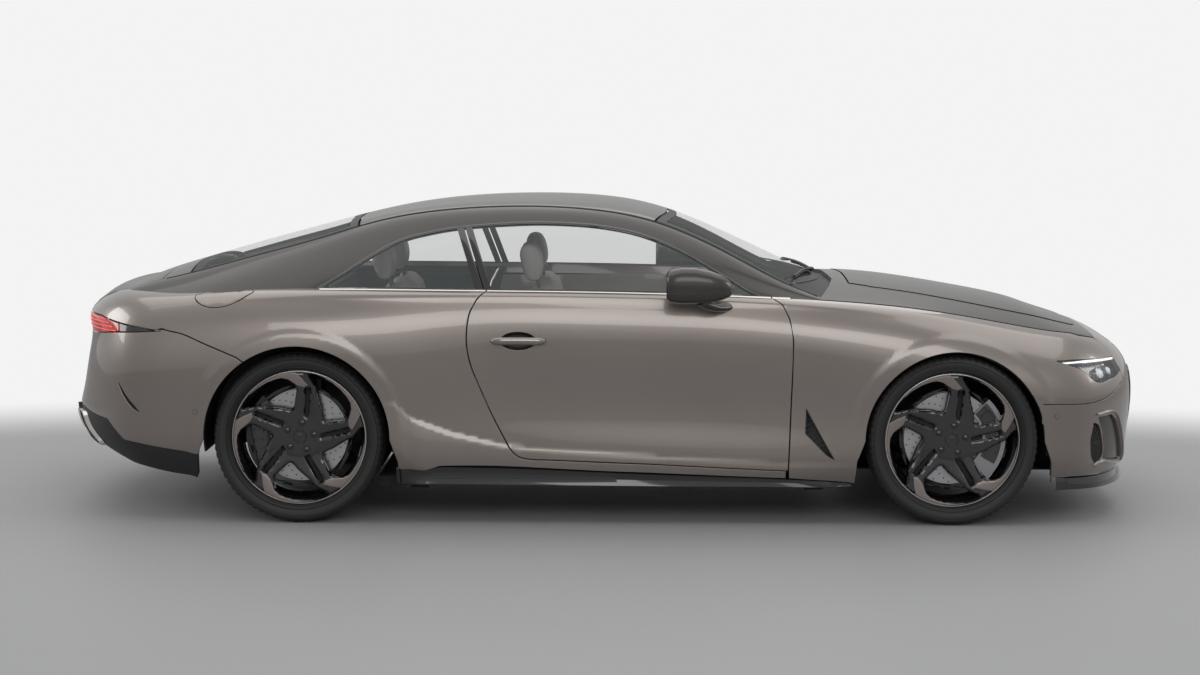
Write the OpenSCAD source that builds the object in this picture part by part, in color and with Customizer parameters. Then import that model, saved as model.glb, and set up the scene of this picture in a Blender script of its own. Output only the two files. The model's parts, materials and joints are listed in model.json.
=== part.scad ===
// Two-door fastback grand tourer. +X is the nose, +Y the car's left, +Z up; the origin is on the
// ground under the middle of the car. Millimetres.

/* [Wheels] */
// Distance between the axles
wheelbase = 2851; // [2840:1:2860]
// Outer radius of the tyres
tyre_r = 372; // [368:1:373]
// Width of the front tyres
front_tyre_w = 275; // [255:5:280]
// Width of the rear tyres
rear_tyre_w = 305; // [285:5:310]
// Outer radius of the rim flange
rim_r = 296; // [290:1:298]
// Number of spokes in a rim
spokes = 5; // [5:1:6]

/* [Body] */
// Distance from the middle of the car to the front axle
front_axle_x = 1513; // [1510:1:1517]
// Half the whole length
half_length = 2430; // [2428:1:2434]
// Thickness of the outer panels
panel_t = 26; // [20:1:30]
// Gap between two panels
gap = 5; // [4:1:7]
// Thickness of the window glass
glass_t = 5; // [4:0.5:6]
// Height of the floor over the ground
floor_z = 150; // [140:1:160]

/* [Hidden] */

rear_axle_x = front_axle_x - wheelbase;
axle_z = tyre_r;
front_wheel_y = 950 - front_tyre_w / 2;
rear_wheel_y = 962 - rear_tyre_w / 2;
kingpin_y = front_wheel_y - 45;
front_arch_x = front_axle_x + 6;
rear_arch_x = rear_axle_x - 7;
front_arch_r = 388;
rear_arch_r = 403;
// How far a wheel housing's inner side is beyond the edge of its arch
front_liner_gap = 27;
rear_liner_gap = 10;
// Thickness of a wheel housing, and how far out it reaches
liner_t = 6;
liner_edge = 880;
// Where the exhaust tips are, across and up, and their radius
exhaust = [620, 375];
exhaust_r = 55;
// Plan place of the door's hinge pin
door_hinge = [772, 920];
// Half widths and heights of the tunnel over the propeller shaft, inside and outside
tunnel = [[62, 372], [90, 400]];
// Height of the boot floor's top
boot_floor_z = 510;
// Where the boot lid meets the deck, and the height of its lower edge
boot_shut_x = -1988;
boot_lid_z = 888;
// Where the front bumper meets the bonnet and the wings, and its lower edge
nose_shut_x = 2190;
bumper_top_z = 535;
bumper_low_z = 205;
// Brake discs: radius, and the radii and half width of a calliper round one
disc_r = 205;
caliper = [140, 240, 32];
// Place of the steering wheel, and its radius
helm = [430, 370, 850];
helm_r = 180;
// Steps that each surface patch is divided into
steps = 2;
big = 6000;

bronze = "#8f8780";
dark_bronze = "#55524d";
black = "#1b1b1d";
satin = "#3c3d40";
metal = "#b8b8ba";
clear = "#9fb0b4";
hide = "#6f675e";

// Sections of the lower body, one row a station, all on the car's left half.
// x, then y and z of eight lines: sill, crease, lower, waist, side, shoulder, top, deck, then the
// height of the middle.
BODY = [
  [-1850, 860,165, 930,310, 948,440, 955,560, 955,700, 925,850, 865,950, 780, 995, 1000],
  [-1550, 870,165, 945,310, 962,450, 972,580, 975,730, 948,880, 895,965, 825,1015, 1020],
  [-1250, 875,165, 950,310, 967,460, 979,600, 983,760, 958,895, 905,975, 850,1020, 1030],
  [ -900, 880,165, 945,310, 957,460, 968,600, 970,750, 950,890, 910,975, 863,1020, 1034],
  [ -500, 890,165, 950,320, 945,460, 950,600, 958,750, 948,900, 912,980, 870,1016, 1034],
  [ -100, 895,165, 952,300, 938,440, 942,580, 956,740, 949,890, 912,978, 873,1013, 1034],
  [  350, 895,165, 948,290, 932,430, 934,570, 952,730, 946,880, 908,968, 870,1004, 1034],
  [  750, 890,165, 945,280, 930,420, 934,560, 952,720, 944,865, 900,950, 858, 988, 1030],
  [ 1150, 885,165, 945,280, 945,420, 955,560, 963,700, 945,840, 890,925, 835, 961, 1040],
  [ 1500, 880,165, 945,280, 957,420, 966,560, 965,690, 932,810, 865,885, 795, 917,  998],
  [ 1850, 860,165, 925,270, 940,410, 945,540, 935,650, 890,750, 815,820, 735, 852,  938]];
// Where each line ends on the middle plane: x short of the half length, and z. The last two
// columns are the lines half way in and on the middle.
TAIL = [[230,215], [60,310], [0,440], [20,530], [45,690], [65,800], [45,885], [170,985],
        [210,992], [250,995]];
NOSE = [[70,150], [20,250], [10,360], [0,470], [2,570], [20,665], [70,735], [160,795],
        [190,810], [220,825]];
tail_power = 2 / 2.6;
nose_power = 2 / 2.4;
corner_steps = 6;

// Sections of the cabin: x, then y and z of four lines: base, glass, rail, ditch, then the
// height of the middle.
CABIN = [
  [-2450, 500,780, 480,785, 460,790, 440,795,  800],
  [-2200, 660,930, 640,950, 600,965, 550,975,  990],
  [-1900, 800,980, 745,1010, 680,1035, 600,1053, 1092],
  [-1600, 840,990, 780,1050, 700,1100, 600,1140, 1183],
  [-1300, 855,990, 785,1085, 700,1165, 600,1220, 1264],
  [-1000, 865,985, 795,1120, 700,1235, 595,1315, 1340],
  [ -700, 872,980, 790,1150, 695,1285, 595,1359, 1385],
  [ -400, 878,980, 795,1160, 700,1305, 600,1374, 1403],
  [ -100, 880,980, 800,1150, 712,1295, 615,1364, 1400],
  [  200, 878,975, 815,1110, 740,1235, 645,1318, 1362],
  [  500, 868,970, 825,1050, 775,1120, 700,1197, 1253],
  [  800, 850,955, 830,985, 800,1010, 765,1035, 1115],
  [ 1050, 800,930, 785,937, 765,944, 740,950,  1005],
  [ 1250, 700,860, 680,865, 650,870, 600,875,  900]];

// Outlines in side view: x and z.
DOOR = [[-521,1060], [-521,1022], [-565,978], [-597,910], [-606,800], [-588,700], [-548,600],
        [-500,490], [-448,389], [-408,323], [-352,292], [-199,284], [194,269], [796,241],
        [802,417], [808,636], [810,811], [795,898], [764,963], [716,998], [700,1060]];
WINDOWS = [[-1250,1024], [-1156,1081], [-1045,1153], [-912,1224], [-758,1264], [-603,1287],
           [-383,1302], [-206,1302], [-30,1290], [147,1256], [324,1186], [501,1089],
           [612,1022], [690,990], [500,1004], [146,1016], [-200,1021], [-550,1023],
           [-900,1026]];
// Where the rear bumper meets the body side
BUMPER_TOP = [[-2600,800], [-2100,836], [-1930,845], [-1820,818], [-1712,772], [-1560,700]];

// ---- surfaces ----
function flip(p) = [p.x, -p.y, p.z];
function ends_on_middle(g) = concat([[for (p = g[1]) flip(p)]], g, [[for (p = g[len(g) - 2]) flip(p)]]);
function ends_straight(g) = concat([2 * g[0] - g[1]], g, [2 * g[len(g) - 1] - g[len(g) - 2]]);
function wide(r) = concat([2 * r[0] - r[1]], r, [flip(r[len(r) - 2])]);
function around(g, closed) = closed ? ends_on_middle(g) : ends_straight(g);
function sharp(e) = [for (i = [1 : len(e) - 2]) e[i] - (e[i - 1] - 2 * e[i] + e[i + 1]) / 6];
// The net of points that makes a cubic surface pass close to the sections' own points
function net(g, closed) =
  let (a = [for (r = g) sharp(wide(r))], b = sharp(around(a, closed)))
  around([for (r = b) wide(r)], closed);
function weights(t) = [pow(1 - t, 3), 3 * pow(t, 3) - 6 * t * t + 4, -3 * pow(t, 3) + 3 * t * t + 3 * t + 1,
                       pow(t, 3)] / 6;
function at(n, i, s, j, t) =
  let (a = weights(s), b = weights(t))
  a * [for (k = [0 : 3]) b[0] * n[i + k][j] + b[1] * n[i + k][j + 1] + b[2] * n[i + k][j + 2]
                         + b[3] * n[i + k][j + 3]];
function surface_grid(g, closed) =
  let (n = net(g, closed), ni = len(g) - 1, nj = len(g[0]) - 1)
  [for (a = [0 : ni * steps]) let (i = min(floor(a / steps), ni - 1), s = a / steps - i)
    [for (b = [0 : nj * steps]) let (j = min(floor(b / steps), nj - 1), t = b / steps - j)
      at(n, i, s, j, t)]];

// One section of the lower body, drawn in by t on its sides and top
function ring(r, t) =
  let (low = [for (k = [0 : 7]) [r[0], r[1 + 2 * k] - t, r[2 + 2 * k] - (k > 5 ? t : 0)]],
       deck = low[7], top = r[17] - t)
  concat(low, [[r[0], deck.y * 0.55, deck.z + (top - deck.z) * 0.75], [r[0], 0, top]]);
// The sections that turn the corner from the side to the middle plane
function corner(side, last, sign, power, t) =
  [for (k = [1 : corner_steps]) let (a = 90 * k / corner_steps, f = pow(sin(a), power), g = pow(max(cos(a), 0), power))
    [for (j = [0 : len(side) - 1])
      let (x1 = sign * (half_length - last[j][0] - t), z1 = last[j][1] - (j > 5 ? t : 0))
      [side[j].x + (x1 - side[j].x) * f, k == corner_steps ? 0 : side[j].y * g,
       side[j].z + (z1 - side[j].z) * f]]];
function body_sections(t) =
  let (sides = [for (r = BODY) ring(r, t)], tail = corner(sides[0], TAIL, -1, tail_power, t))
  concat([for (k = [corner_steps - 1 : -1 : 0]) tail[k]], sides,
         corner(sides[len(sides) - 1], NOSE, 1, nose_power, t));
function cabin_ring(r, t) =
  let (low = [for (k = [0 : 3]) [r[0], r[1 + 2 * k] - t, r[2 + 2 * k] - (k == 3 ? t : 0)]],
       ditch = low[3], top = r[9] - t)
  concat(low, [[r[0], ditch.y * 0.66, ditch.z + (top - ditch.z) * 0.62],
               [r[0], ditch.y * 0.33, ditch.z + (top - ditch.z) * 0.9], [r[0], 0, top]]);
function cabin_sections(t) = [for (r = CABIN) cabin_ring(r, t)];

// A closed solid under a grid of the left half's points, mirrored to the right, flat underneath.
// The ends of an open grid are capped; a closed grid's ends lie on the middle plane.
module solid_under(g, closed) {
  rings = [for (r = g) [for (p = r) [p.x, max(p.y, 0), p.z]]];
  whole = [for (r = rings) concat(r, [for (k = [len(r) - 2 : -1 : 0]) flip(r[k])])];
  n = len(whole[0]);
  last = len(whole) - 1;
  function v(i, j) = i * n + j;
  sides = [for (i = [0 : last - 1]) for (j = [0 : n - 2]) each
            [[v(i, j), v(i + 1, j), v(i + 1, j + 1)], [v(i, j), v(i + 1, j + 1), v(i, j + 1)]]];
  under = [for (i = [0 : last - 1]) each
            [[v(i, 0), v(i, n - 1), v(i + 1, n - 1)], [v(i, 0), v(i + 1, n - 1), v(i + 1, 0)]]];
  caps = [[for (j = [0 : n - 1]) v(0, j)], [for (j = [n - 1 : -1 : 0]) v(last, j)]];
  polyhedron([for (r = whole) each r], concat(sides, under, closed ? [] : caps), convexity = 8);
}
module body(t = 0) solid_under(surface_grid(body_sections(t), true), true);
module cabin(t = 0) solid_under(surface_grid(cabin_sections(t), false), false);

// ---- helpers ----
// Joins a panel's pieces into one plain solid
module as_mesh() resize([0, 0, 0]) children();
module on_side(side) if (side > 0) children(); else mirror([0, 1, 0]) children();
module both_sides() { children(); mirror([0, 1, 0]) children(); }
// A side view outline, from y0 outwards
module side_prism(y0 = 1, y1 = big) translate([0, y1, 0]) rotate([90, 0, 0]) linear_extrude(y1 - y0) children();
// A plan view outline, from z0 upwards
module top_prism(z0 = -big, z1 = big) translate([0, 0, z0]) linear_extrude(z1 - z0) children();
// A front view outline, from x0 forwards
module front_prism(x0, x1) translate([x0, 0, 0]) rotate([90, 0, 90]) linear_extrude(x1 - x0) children();
module block(lo, hi) translate(lo) cube(hi - lo);
module wheel_tube(x, r, y0, y1) translate([x, y0, axle_z]) rotate([-90, 0, 0]) cylinder(r = r, h = y1 - y0, $fn = 96);
module across(x, z, r, half) translate([x, 0, z]) rotate([90, 0, 0]) cylinder(r = r, h = 2 * half, center = true, $fn = 32);
function col(rows, c) = [for (r = rows) [r[0], r[c]]];

// Plan view: inside the bonnet's edges, and inside the roof's edges
module inside_deck() polygon(concat(col(BODY, 15), [[2060, 690], [2170, 610], [2240, 500], [2270, 300], [2275, 0], [-1850, 0]]));
module inside_ditch(d = 0) offset(delta = d) polygon(concat(col(CABIN, 7), [for (k = [len(CABIN) - 1 : -1 : 0]) [CABIN[k][0], -CABIN[k][7]]]));
// Side view
module arch(x, r) {
  translate([x, axle_z]) circle(r = r, $fn = 96);
  translate([x, axle_z]) polygon([[-r, 0], [-r - 34, -90], [-r - 44, -240], [r + 44, -240], [r + 34, -90], [r, 0]]);
}
module arches() {
  arch(front_arch_x, front_arch_r);
  arch(rear_arch_x, rear_arch_r);
}
sill_top = [[-1000, 250], [-787, 245], [-721, 263], [-373, 256], [193, 232], [803, 209], [1100, 184]];
module door_outline(d = 0) offset(delta = d) polygon(DOOR);
module window_outline(d = 0) offset(delta = d) polygon(WINDOWS);
module below_bumper_top(d = 0) offset(delta = d) polygon(concat(BUMPER_TOP, [[-1560, 0], [-2700, 0]]));
module below_sill() polygon(concat(sill_top, [[1100, 100], [-3000, 100], [-3000, 250]]));
module lamp_band(d = 0) offset(delta = d) polygon([[-2600, 800], [-2280, 805], [-2160, 824], [-1930, 836], [-2100, 857], [-2240, 884], [-2600, 884]]);
module headlamp_outline(d = 0) offset(delta = d) polygon([[1962, 722], [2300, 722], [2300, 640], [2238, 639], [2186, 621], [2141, 630], [2073, 690]]);
bonnet_rear = [[1045, 0], [1035, 300], [1005, 500], [960, 700], [930, 820], [925, 900]];
module bonnet_plan() difference() {
  inside_deck();
  polygon(concat([[-2000, -1]], bonnet_rear, [[-2000, 900]]));
  translate([nose_shut_x, -1]) square([500, 1000]);
}

// The outer skin: the lower body and the cabin as one shell
module whole(t = 0) { body(t); cabin(t); }
module skin() difference() { whole(); whole(panel_t); }
module body_skin(t = panel_t) difference() { body(); body(t); }
module cabin_skin(t = panel_t) difference() { cabin(); cabin(t); }
// What the door's front edge sweeps as it swings in, round its hinge pin
module door_sweep() translate([door_hinge.x, door_hinge.y, 0]) rotate_extrude($fn = 64)
  polygon([[0, 200], [50, 240], [50, 300], [43.5, 400], [43, 440], [45, 560], [51, 640], [54, 715], [52, 800], [48.5, 870], [42, 930], [0, 960]]);

// ---- outer panels ----
module front_wing() color(bronze) as_mesh() difference() {
  intersection() {
    body_skin();
    side_prism(550) polygon([[815, 150], [815, 811], [800, 899], [768, 968], [730, 1004], [700, 1010], [700, 1060], [1000, 1100], [2600, 1100], [2600, 150]]);
  }
  cabin(-1);
  top_prism() bonnet_plan();
  top_prism() polygon([[600, -1], [600, 700], [967, 700], [1012, 500], [1042, -1]]);
  side_prism(0) arch(front_arch_x, front_arch_r);
  side_prism(0) translate([front_arch_x, 0]) square([1200, bumper_top_z + gap / 2]);
  side_prism(0) headlamp_outline();
  side_prism(0) below_sill();
  top_prism(400) nose_plan(gap);
  door_sweep();
}
// Where the bumper covers the nose, ahead of the bonnet and between the lamps
module nose_plan(d = 0) offset(delta = d) polygon([[nose_shut_x, 0], [nose_shut_x, 560], [2270, 640], [2700, 640], [2700, 0]]);
module whole_nose_plan() { nose_plan(); mirror([0, 1]) nose_plan(); }
module bonnet() color(dark_bronze) as_mesh() difference() {
  intersection() {
    body_skin();
    top_prism(700) offset(delta = -gap - 2) { bonnet_plan(); mirror([0, 1]) bonnet_plan(); }
  }
  cabin(-1);
}
module front_bumper() color(bronze) as_mesh() difference() {
  intersection() {
    body_skin();
    union() {
      side_prism(-big) difference() {
        translate([front_arch_x, bumper_low_z]) square([1200, bumper_top_z - gap / 2 - bumper_low_z]);
        arch(front_arch_x, front_arch_r);
      }
      intersection() {
        top_prism(500) whole_nose_plan();
        side_prism(-big) difference() {
          translate([2100, 500]) square([600, 600]);
          headlamp_outline(2);
        }
      }
      top_prism(500) translate([nose_shut_x, -400]) square([600, 800]);
    }
  }
  grille_hole(4);
  lower_intake();
  both_sides() translate([2300, 400, 330]) rotate([0, 90, 0]) cylinder(r = 20, h = 300, $fn = 32);
}
module grille_outline(d) offset(r = 60 + d, $fn = 32) offset(delta = -60) polygon([[-400, 640], [400, 640], [350, 350], [-350, 350]]);
module grille_hole(d) front_prism(2100, 2700) grille_outline(d);
module lower_intake() front_prism(2100, 2700) polygon([[-560, 300], [560, 300], [500, 225], [-500, 225]]);
module grille() color(satin) {
  for (y = [-330 : 60 : 330]) block([2378, y - 6, 362], [2390, y + 6, 628]);
  for (z = [380 : 40 : 620]) block([2390, -345, z - 4], [2396, 345, z + 4]);
}
module headlamps() color(clear) as_mesh() both_sides() intersection() {
  body_skin(60);
  side_prism(400) headlamp_outline(-2);
}
// The black blades along the bottom of the body: sills, splitter and diffuser
module lower_trim() color(black) as_mesh() {
  both_sides() difference() {
    intersection() {
      body();
      side_prism(835) polygon(concat([for (p = sill_top) p - [0, 3]], [[1100, 166], [-1000, 166]]));
    }
    side_prism(0) arches();
  }
  difference() {
    intersection() {
      body();
      side_prism(-big) polygon([[1900, 166], [1900, 200], [2600, 200], [2600, 166]]);
    }
    block([1800, -600, 100], [2250, 600, 300]);
    side_prism(-big) arch(front_arch_x, front_arch_r);
  }
  difference() {
    intersection() {
      body();
      side_prism(-big) polygon([[-1600, 166], [-1600, 236], [-2215, 236], [-2600, 420], [-2600, 166]]);
    }
    block([-2150, -700, 100], [-1500, 700, 300]);
    body(60);
    side_prism(-big) arch(rear_arch_x, rear_arch_r);
  }
}
module body_side() color(bronze) as_mesh() difference() {
  intersection() {
    skin();
    side_prism(400) translate([-3000, 150]) square([4010, 1500]);
  }
  top_prism() inside_ditch(gap / 2);
  side_prism(0) arch(rear_arch_x, rear_arch_r);
  side_prism(0) door_outline(gap);
  side_prism(0) window_outline();
  side_prism(0) below_bumper_top(gap / 2);
  side_prism(0) lamp_band(gap / 2);
  side_prism(0) below_sill();
  // Ahead of the door only the pillar above the wing is left
  intersection() {
    body(-1.5);
    side_prism(0) polygon([[810, 0], [810, 811], [796, 899], [764, 966], [727, 1002], [690, 1006], [690, 1200], [2600, 1200], [2600, 0]]);
  }
  door_sweep();
}
module roof() color(dark_bronze) as_mesh() intersection() {
  cabin_skin();
  top_prism(900) intersection() {
    inside_ditch(-gap / 2);
    polygon([[-1095, -700], [-1130, 0], [-1095, 700], [200, 700], [285, 0], [200, -700]]);
  }
}
module windscreen() color(clear) as_mesh() intersection() {
  cabin_skin(glass_t);
  top_prism(800) intersection() {
    inside_ditch(-gap);
    polygon([[880, -900], [205, -900], [205, -700], [290, 0], [205, 700], [205, 900], [880, 900], [950, 500], [1000, 0], [950, -500]]);
  }
}
module rear_window() color(clear) as_mesh() intersection() {
  cabin_skin(glass_t);
  top_prism(900) intersection() {
    inside_ditch(-gap);
    polygon([[-1100, -700], [-1135, 0], [-1100, 700], [-1850, 700], [-1880, 0], [-1850, -700]]);
  }
}
module rear_deck() color(dark_bronze) as_mesh() intersection() {
  cabin_skin();
  top_prism(900) intersection() {
    inside_ditch(-gap / 2);
    polygon([[-1885, 0], [-1855, 700], [boot_shut_x + gap / 2, 700], [boot_shut_x + gap / 2, -700], [-1855, -700]]);
  }
}
module boot_lid() color(dark_bronze) as_mesh() difference() {
  intersection() {
    whole();
    top_prism(boot_lid_z) intersection() {
      inside_ditch(-gap);
      translate([boot_shut_x - 1000 - gap / 2, -700]) square([1000, 1400]);
    }
  }
  cabin(panel_t);
  translate([0, 0, -20]) cabin(panel_t);
  body(panel_t);
}
module side_glass(edge) color(clear) as_mesh() intersection() {
  cabin_skin(glass_t);
  side_prism(200) intersection() {
    window_outline(-3);
    polygon(edge);
  }
}
module quarter_windows() both_sides() side_glass([[-2000, 900], [-545, 900], [-650, 1400], [-2000, 1400]]);
module door_glass() side_glass([[2000, 900], [-515, 900], [-620, 1400], [2000, 1400]]);
module rear_bumper() color(dark_bronze) as_mesh() difference() {
  intersection() {
    body_skin();
    side_prism(-big) difference() {
      union() {
        below_bumper_top(-gap / 2);
        translate([-3000, 700]) square([700, 178]);
      }
      lamp_band(gap / 2);
      polygon([[-1500, 0], [-1500, 240], [-2213, 240], [-2700, 470], [-2700, 0]]);
    }
  }
  side_prism(-big) arch(rear_arch_x, rear_arch_r);
  both_sides() translate([-2500, exhaust.x, exhaust.y]) rotate([0, 90, 0]) cylinder(r = exhaust_r + 5, h = 400, $fn = 48);
}
module tail_lamps() color("#7a1512") as_mesh() intersection() {
  body_skin(30);
  side_prism(-big) lamp_band();
}
module exhaust_tips() color(metal) both_sides() translate([-2310, exhaust.x, exhaust.y]) rotate([0, 90, 0]) difference() {
  cylinder(r = exhaust_r, h = 150, $fn = 48);
  translate([0, 0, -1]) cylinder(r = exhaust_r - 5, h = 130, $fn = 48);
}
module cowl() color(black) block([985, -560, 925], [1060, 560, 940]);
module door() color(bronze) as_mesh() intersection() {
  body();
  side_prism(840) door_outline(-gap / 2);
  block([-2000, 840, 0], [2000, 1200, 1011]);
}
module mirror_housing() color(satin) {
  translate([400, 1035, 1040]) rotate([90, 0, 90]) cylinder(r = 62, h = 200, center = true, $fn = 48);
  block([400, 925, 940], [480, 1000, 975]);
}

// ---- structure ----
module body_tub() color(black) {
  block([-1000, -830, floor_z], [1060, 830, floor_z + 40]);
  block([1030, -470, floor_z + 45], [1060, 470, 860]);
  for (s = [-1, 1]) block([-880, s * 790 - 30, floor_z + 40], [1000, s * 790 + 30, 235]);
  for (x = [-820, 920]) for (s = [-1, 1]) block([x - 40, s * 780 - 30, floor_z - 15], [x + 40, s * 780 + 30, floor_z]);
  block([-2150, -560, boot_floor_z - 30], [-1010, 560, boot_floor_z]);
  difference() {
    union() {
      block([-1040, -560, floor_z + 40], [-1010, 560, 620]);
      block([-1010, -tunnel[1].x, floor_z + 40], [1030, tunnel[1].x, tunnel[1].y]);
    }
    block([-1100, -tunnel[0].x, floor_z], [1031, tunnel[0].x, tunnel[0].y]);
  }
  block([-1800, -600, 975], [-1250, 600, 990]);
  block([1070, -440, 168], [2180, 440, 178]);
  // Trim beside the rear seats
  both_sides() translate([0, 745, 0]) rotate([90, 0, 0]) linear_extrude(15) difference() {
    polygon([[-1300, 800], [-1300, 970], [-620, 970], [-620, 800], [-560, 245], [-880, 245]]);
    translate([rear_arch_x, axle_z]) circle(r = rear_arch_r + 30, $fn = 96);
  }
}
module wheel_arch_liners() color(black)
  for (a = [[front_arch_x, front_arch_r + front_liner_gap, 470], [rear_arch_x, rear_arch_r + rear_liner_gap, 600]])
    both_sides() difference() {
      wheel_tube(a[0], a[1] + liner_t, a[2], liner_edge);
      wheel_tube(a[0], a[1], a[2] + liner_t, liner_edge + 1);
      block([a[0] - 600, 0, -100], [a[0] + 600, 1200, axle_z - 70]);
      if (a[0] < 0) across(rear_axle_x, axle_z, 60, 700);
    }
module arm(x, y0, y1, z) {
  translate([x, 0, z]) for (dx = [-150, 150]) linear_extrude(26) polygon([[dx - 22, y0], [dx + 22, y0], [30, y1 - 20], [-30, y1 - 20]]);
  translate([x, y1, z]) cylinder(r = 30, h = 26, $fn = 48);
}
module subframes() color(satin) {
  difference() {
    block([1300, -395, 200], [1720, 395, 240]);
    block([1380, -300, 190], [1640, 300, 250]);
  }
  for (s = [-1, 1]) difference() {
    block([1300, s * 400 - 35, 300], [2290, s * 400 + 35, 360]);
    translate([2230, s * 400, 330]) rotate([0, 90, 0]) cylinder(r = 9, h = 100, $fn = 32);
  }
  both_sides() {
    arm(front_axle_x, 385, kingpin_y, 190);
    translate([front_axle_x, kingpin_y, 190]) cylinder(r = 10, h = 50, $fn = 32);
  }
  across(1360, 262, 22, 330);
  block([rear_axle_x - 180, -330, 215], [rear_axle_x + 200, 330, 262]);
  across(rear_axle_x, axle_z, 20, rear_wheel_y + 60);
  translate([rear_axle_x, 0, axle_z]) rotate([90, 0, 0]) cylinder(r = 95, h = 260, center = true, $fn = 64);
  both_sides() {
    arm(rear_axle_x, 320, rear_wheel_y - 45, 190);
    block([rear_axle_x - 45, rear_wheel_y - 60, 216], [rear_axle_x + 45, rear_wheel_y - 25, 330]);
    translate([rear_axle_x, rear_wheel_y - 25, axle_z]) rotate([90, 0, 0]) cylinder(r = 62, h = 45, $fn = 64);
    calliper(rear_axle_x, rear_wheel_y, -1);
  }
  translate([0, 0, 310]) rotate([0, 90, 0]) translate([0, 0, rear_axle_x + 150]) cylinder(r = 38, h = 1900, $fn = 48);
}
// Brake calliper round the edge of a disc, ahead of the axle or behind it
module calliper(x, y, ahead) translate([x, y, axle_z]) rotate([-90, 0, 0]) difference() {
  rotate(ahead > 0 ? -47 : 133) rotate_extrude(angle = 94, $fn = 96)
    translate([caliper[0], -caliper[2]]) square([caliper[1] - caliper[0], 80]);
  translate([0, 0, -15]) cylinder(r = disc_r + 10, h = 46, $fn = 96);
}
module engine() color(metal) {
  block([1120, -280, 380], [1820, 280, 820]);
  block([2200, -330, 330], [2240, 330, 660]);
}
module dashboard() color(hide) {
  translate([0, 700, 0]) rotate([90, 0, 0]) linear_extrude(1400)
    polygon([[560, 700], [590, 860], [640, 915], [760, 930], [900, 915], [900, 700]]);
  difference() {
    block([-260, -110, 200], [540, 110, 480]);
    block([-261, -tunnel[1].x - 1, 199], [541, tunnel[1].x + 1, tunnel[1].y + 1]);
  }
}
module steering_wheel() color(black) translate(helm) rotate([0, -65, 0]) {
  rotate_extrude($fn = 96) translate([helm_r, 0]) circle(r = 15, $fn = 24);
  translate([0, 0, -25]) cylinder(r = 70, h = 40, $fn = 64);
  for (a = [90, 180, 270]) rotate(a) block([60, -18, -12], [helm_r - 5, 18, 4]);
}
module seat(x, w) translate([x, 0, 0]) {
  rotate([90, 0, 0]) linear_extrude(w, center = true) polygon([[-260, 300], [260, 320], [260, 460], [-140, 430], [-330, 1000], [-430, 980], [-320, 400]]);
  rotate([90, 0, 0]) linear_extrude(240, center = true) polygon([[-345, 1010], [-425, 995], [-460, 1190], [-380, 1200]]);
}
module front_seats() color(hide) for (s = [-1, 1]) translate([0, s * 385, 0]) seat(60, 500);
module rear_seats() color(hide) for (s = [-1, 1]) translate([0, s * 330, 0]) seat(-620, 440);

// ---- wheels ----
module knuckle(s) color(satin) {
  on_side(s) difference() {
    union() {
      translate([front_axle_x, kingpin_y, 0]) {
        block([-40, -22, 216], [40, 16, 560]);
        translate([0, 0, 216]) cylinder(r = 28, h = 40, $fn = 48);
      }
      translate([front_axle_x, front_wheel_y - 30, axle_z]) rotate([90, 0, 0]) cylinder(r = 75, h = 40, $fn = 64);
      translate([front_axle_x, front_wheel_y - 35, axle_z]) rotate([-90, 0, 0]) cylinder(r = 30, h = 105, $fn = 48);
      block([front_axle_x + 30, front_wheel_y - 62, axle_z - 50], [front_axle_x + 160, front_wheel_y - 32, axle_z + 50]);
      calliper(front_axle_x, front_wheel_y, 1);
    }
    translate([front_axle_x, kingpin_y, 200]) cylinder(r = 11, h = 50, $fn = 48);
  }
}
TYRE = [[0.80, 0.38], [0.83, 0.44], [0.90, 0.50], [0.955, 0.48], [0.985, 0.42], [1, 0.3], [1, -0.3], [0.985, -0.42],
        [0.955, -0.48], [0.90, -0.5], [0.83, -0.44], [0.80, -0.38]];
module tyre(x, y, w) color(black) translate([x, y, axle_z]) rotate([-90, 0, 0]) rotate_extrude($fn = 96)
  polygon([for (p = TYRE) [p[0] * tyre_r, p[1] * w]]);
module rim(x, y, w, s) color(satin) translate([x, y, axle_z]) rotate([-90 * s, 0, 0]) {
  rotate_extrude($fn = 96) polygon([[rim_r - 2, 0.37 * w], [rim_r - 20, 0.37 * w], [rim_r - 30, -0.3 * w], [rim_r - 10, -0.37 * w], [rim_r - 2, -0.37 * w], [rim_r - 12, -0.28 * w], [rim_r - 12, 0.28 * w]]);
  difference() {
    union() {
      translate([0, 0, 54]) cylinder(r = 85, h = 36, $fn = 64);
      for (k = [0 : spokes - 1]) rotate(360 / spokes * k) translate([0, 0, 60]) linear_extrude(35)
        polygon([[0, -45], [150, -40], [275, 40], [262, 95], [120, 40], [0, 45]]);
    }
    translate([0, 0, 50]) cylinder(r = 34, h = 32, $fn = 48);
    for (k = [0 : 4]) rotate(72 * k) translate([60, 0, 50]) cylinder(r = 8, h = 200, $fn = 24);
  }
}
module disc(x, y, s) color(metal) translate([x, y, axle_z]) rotate([-90 * s, 0, 0]) difference() {
  union() {
    translate([0, 0, -8]) cylinder(r = disc_r, h = 32, $fn = 96);
    translate([0, 0, -8]) cylinder(r = 84, h = 61, $fn = 64);
  }
  translate([0, 0, -20]) cylinder(r = 72, h = 66, $fn = 64);
  cylinder(r = 34, h = 200, $fn = 48);
}

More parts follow.
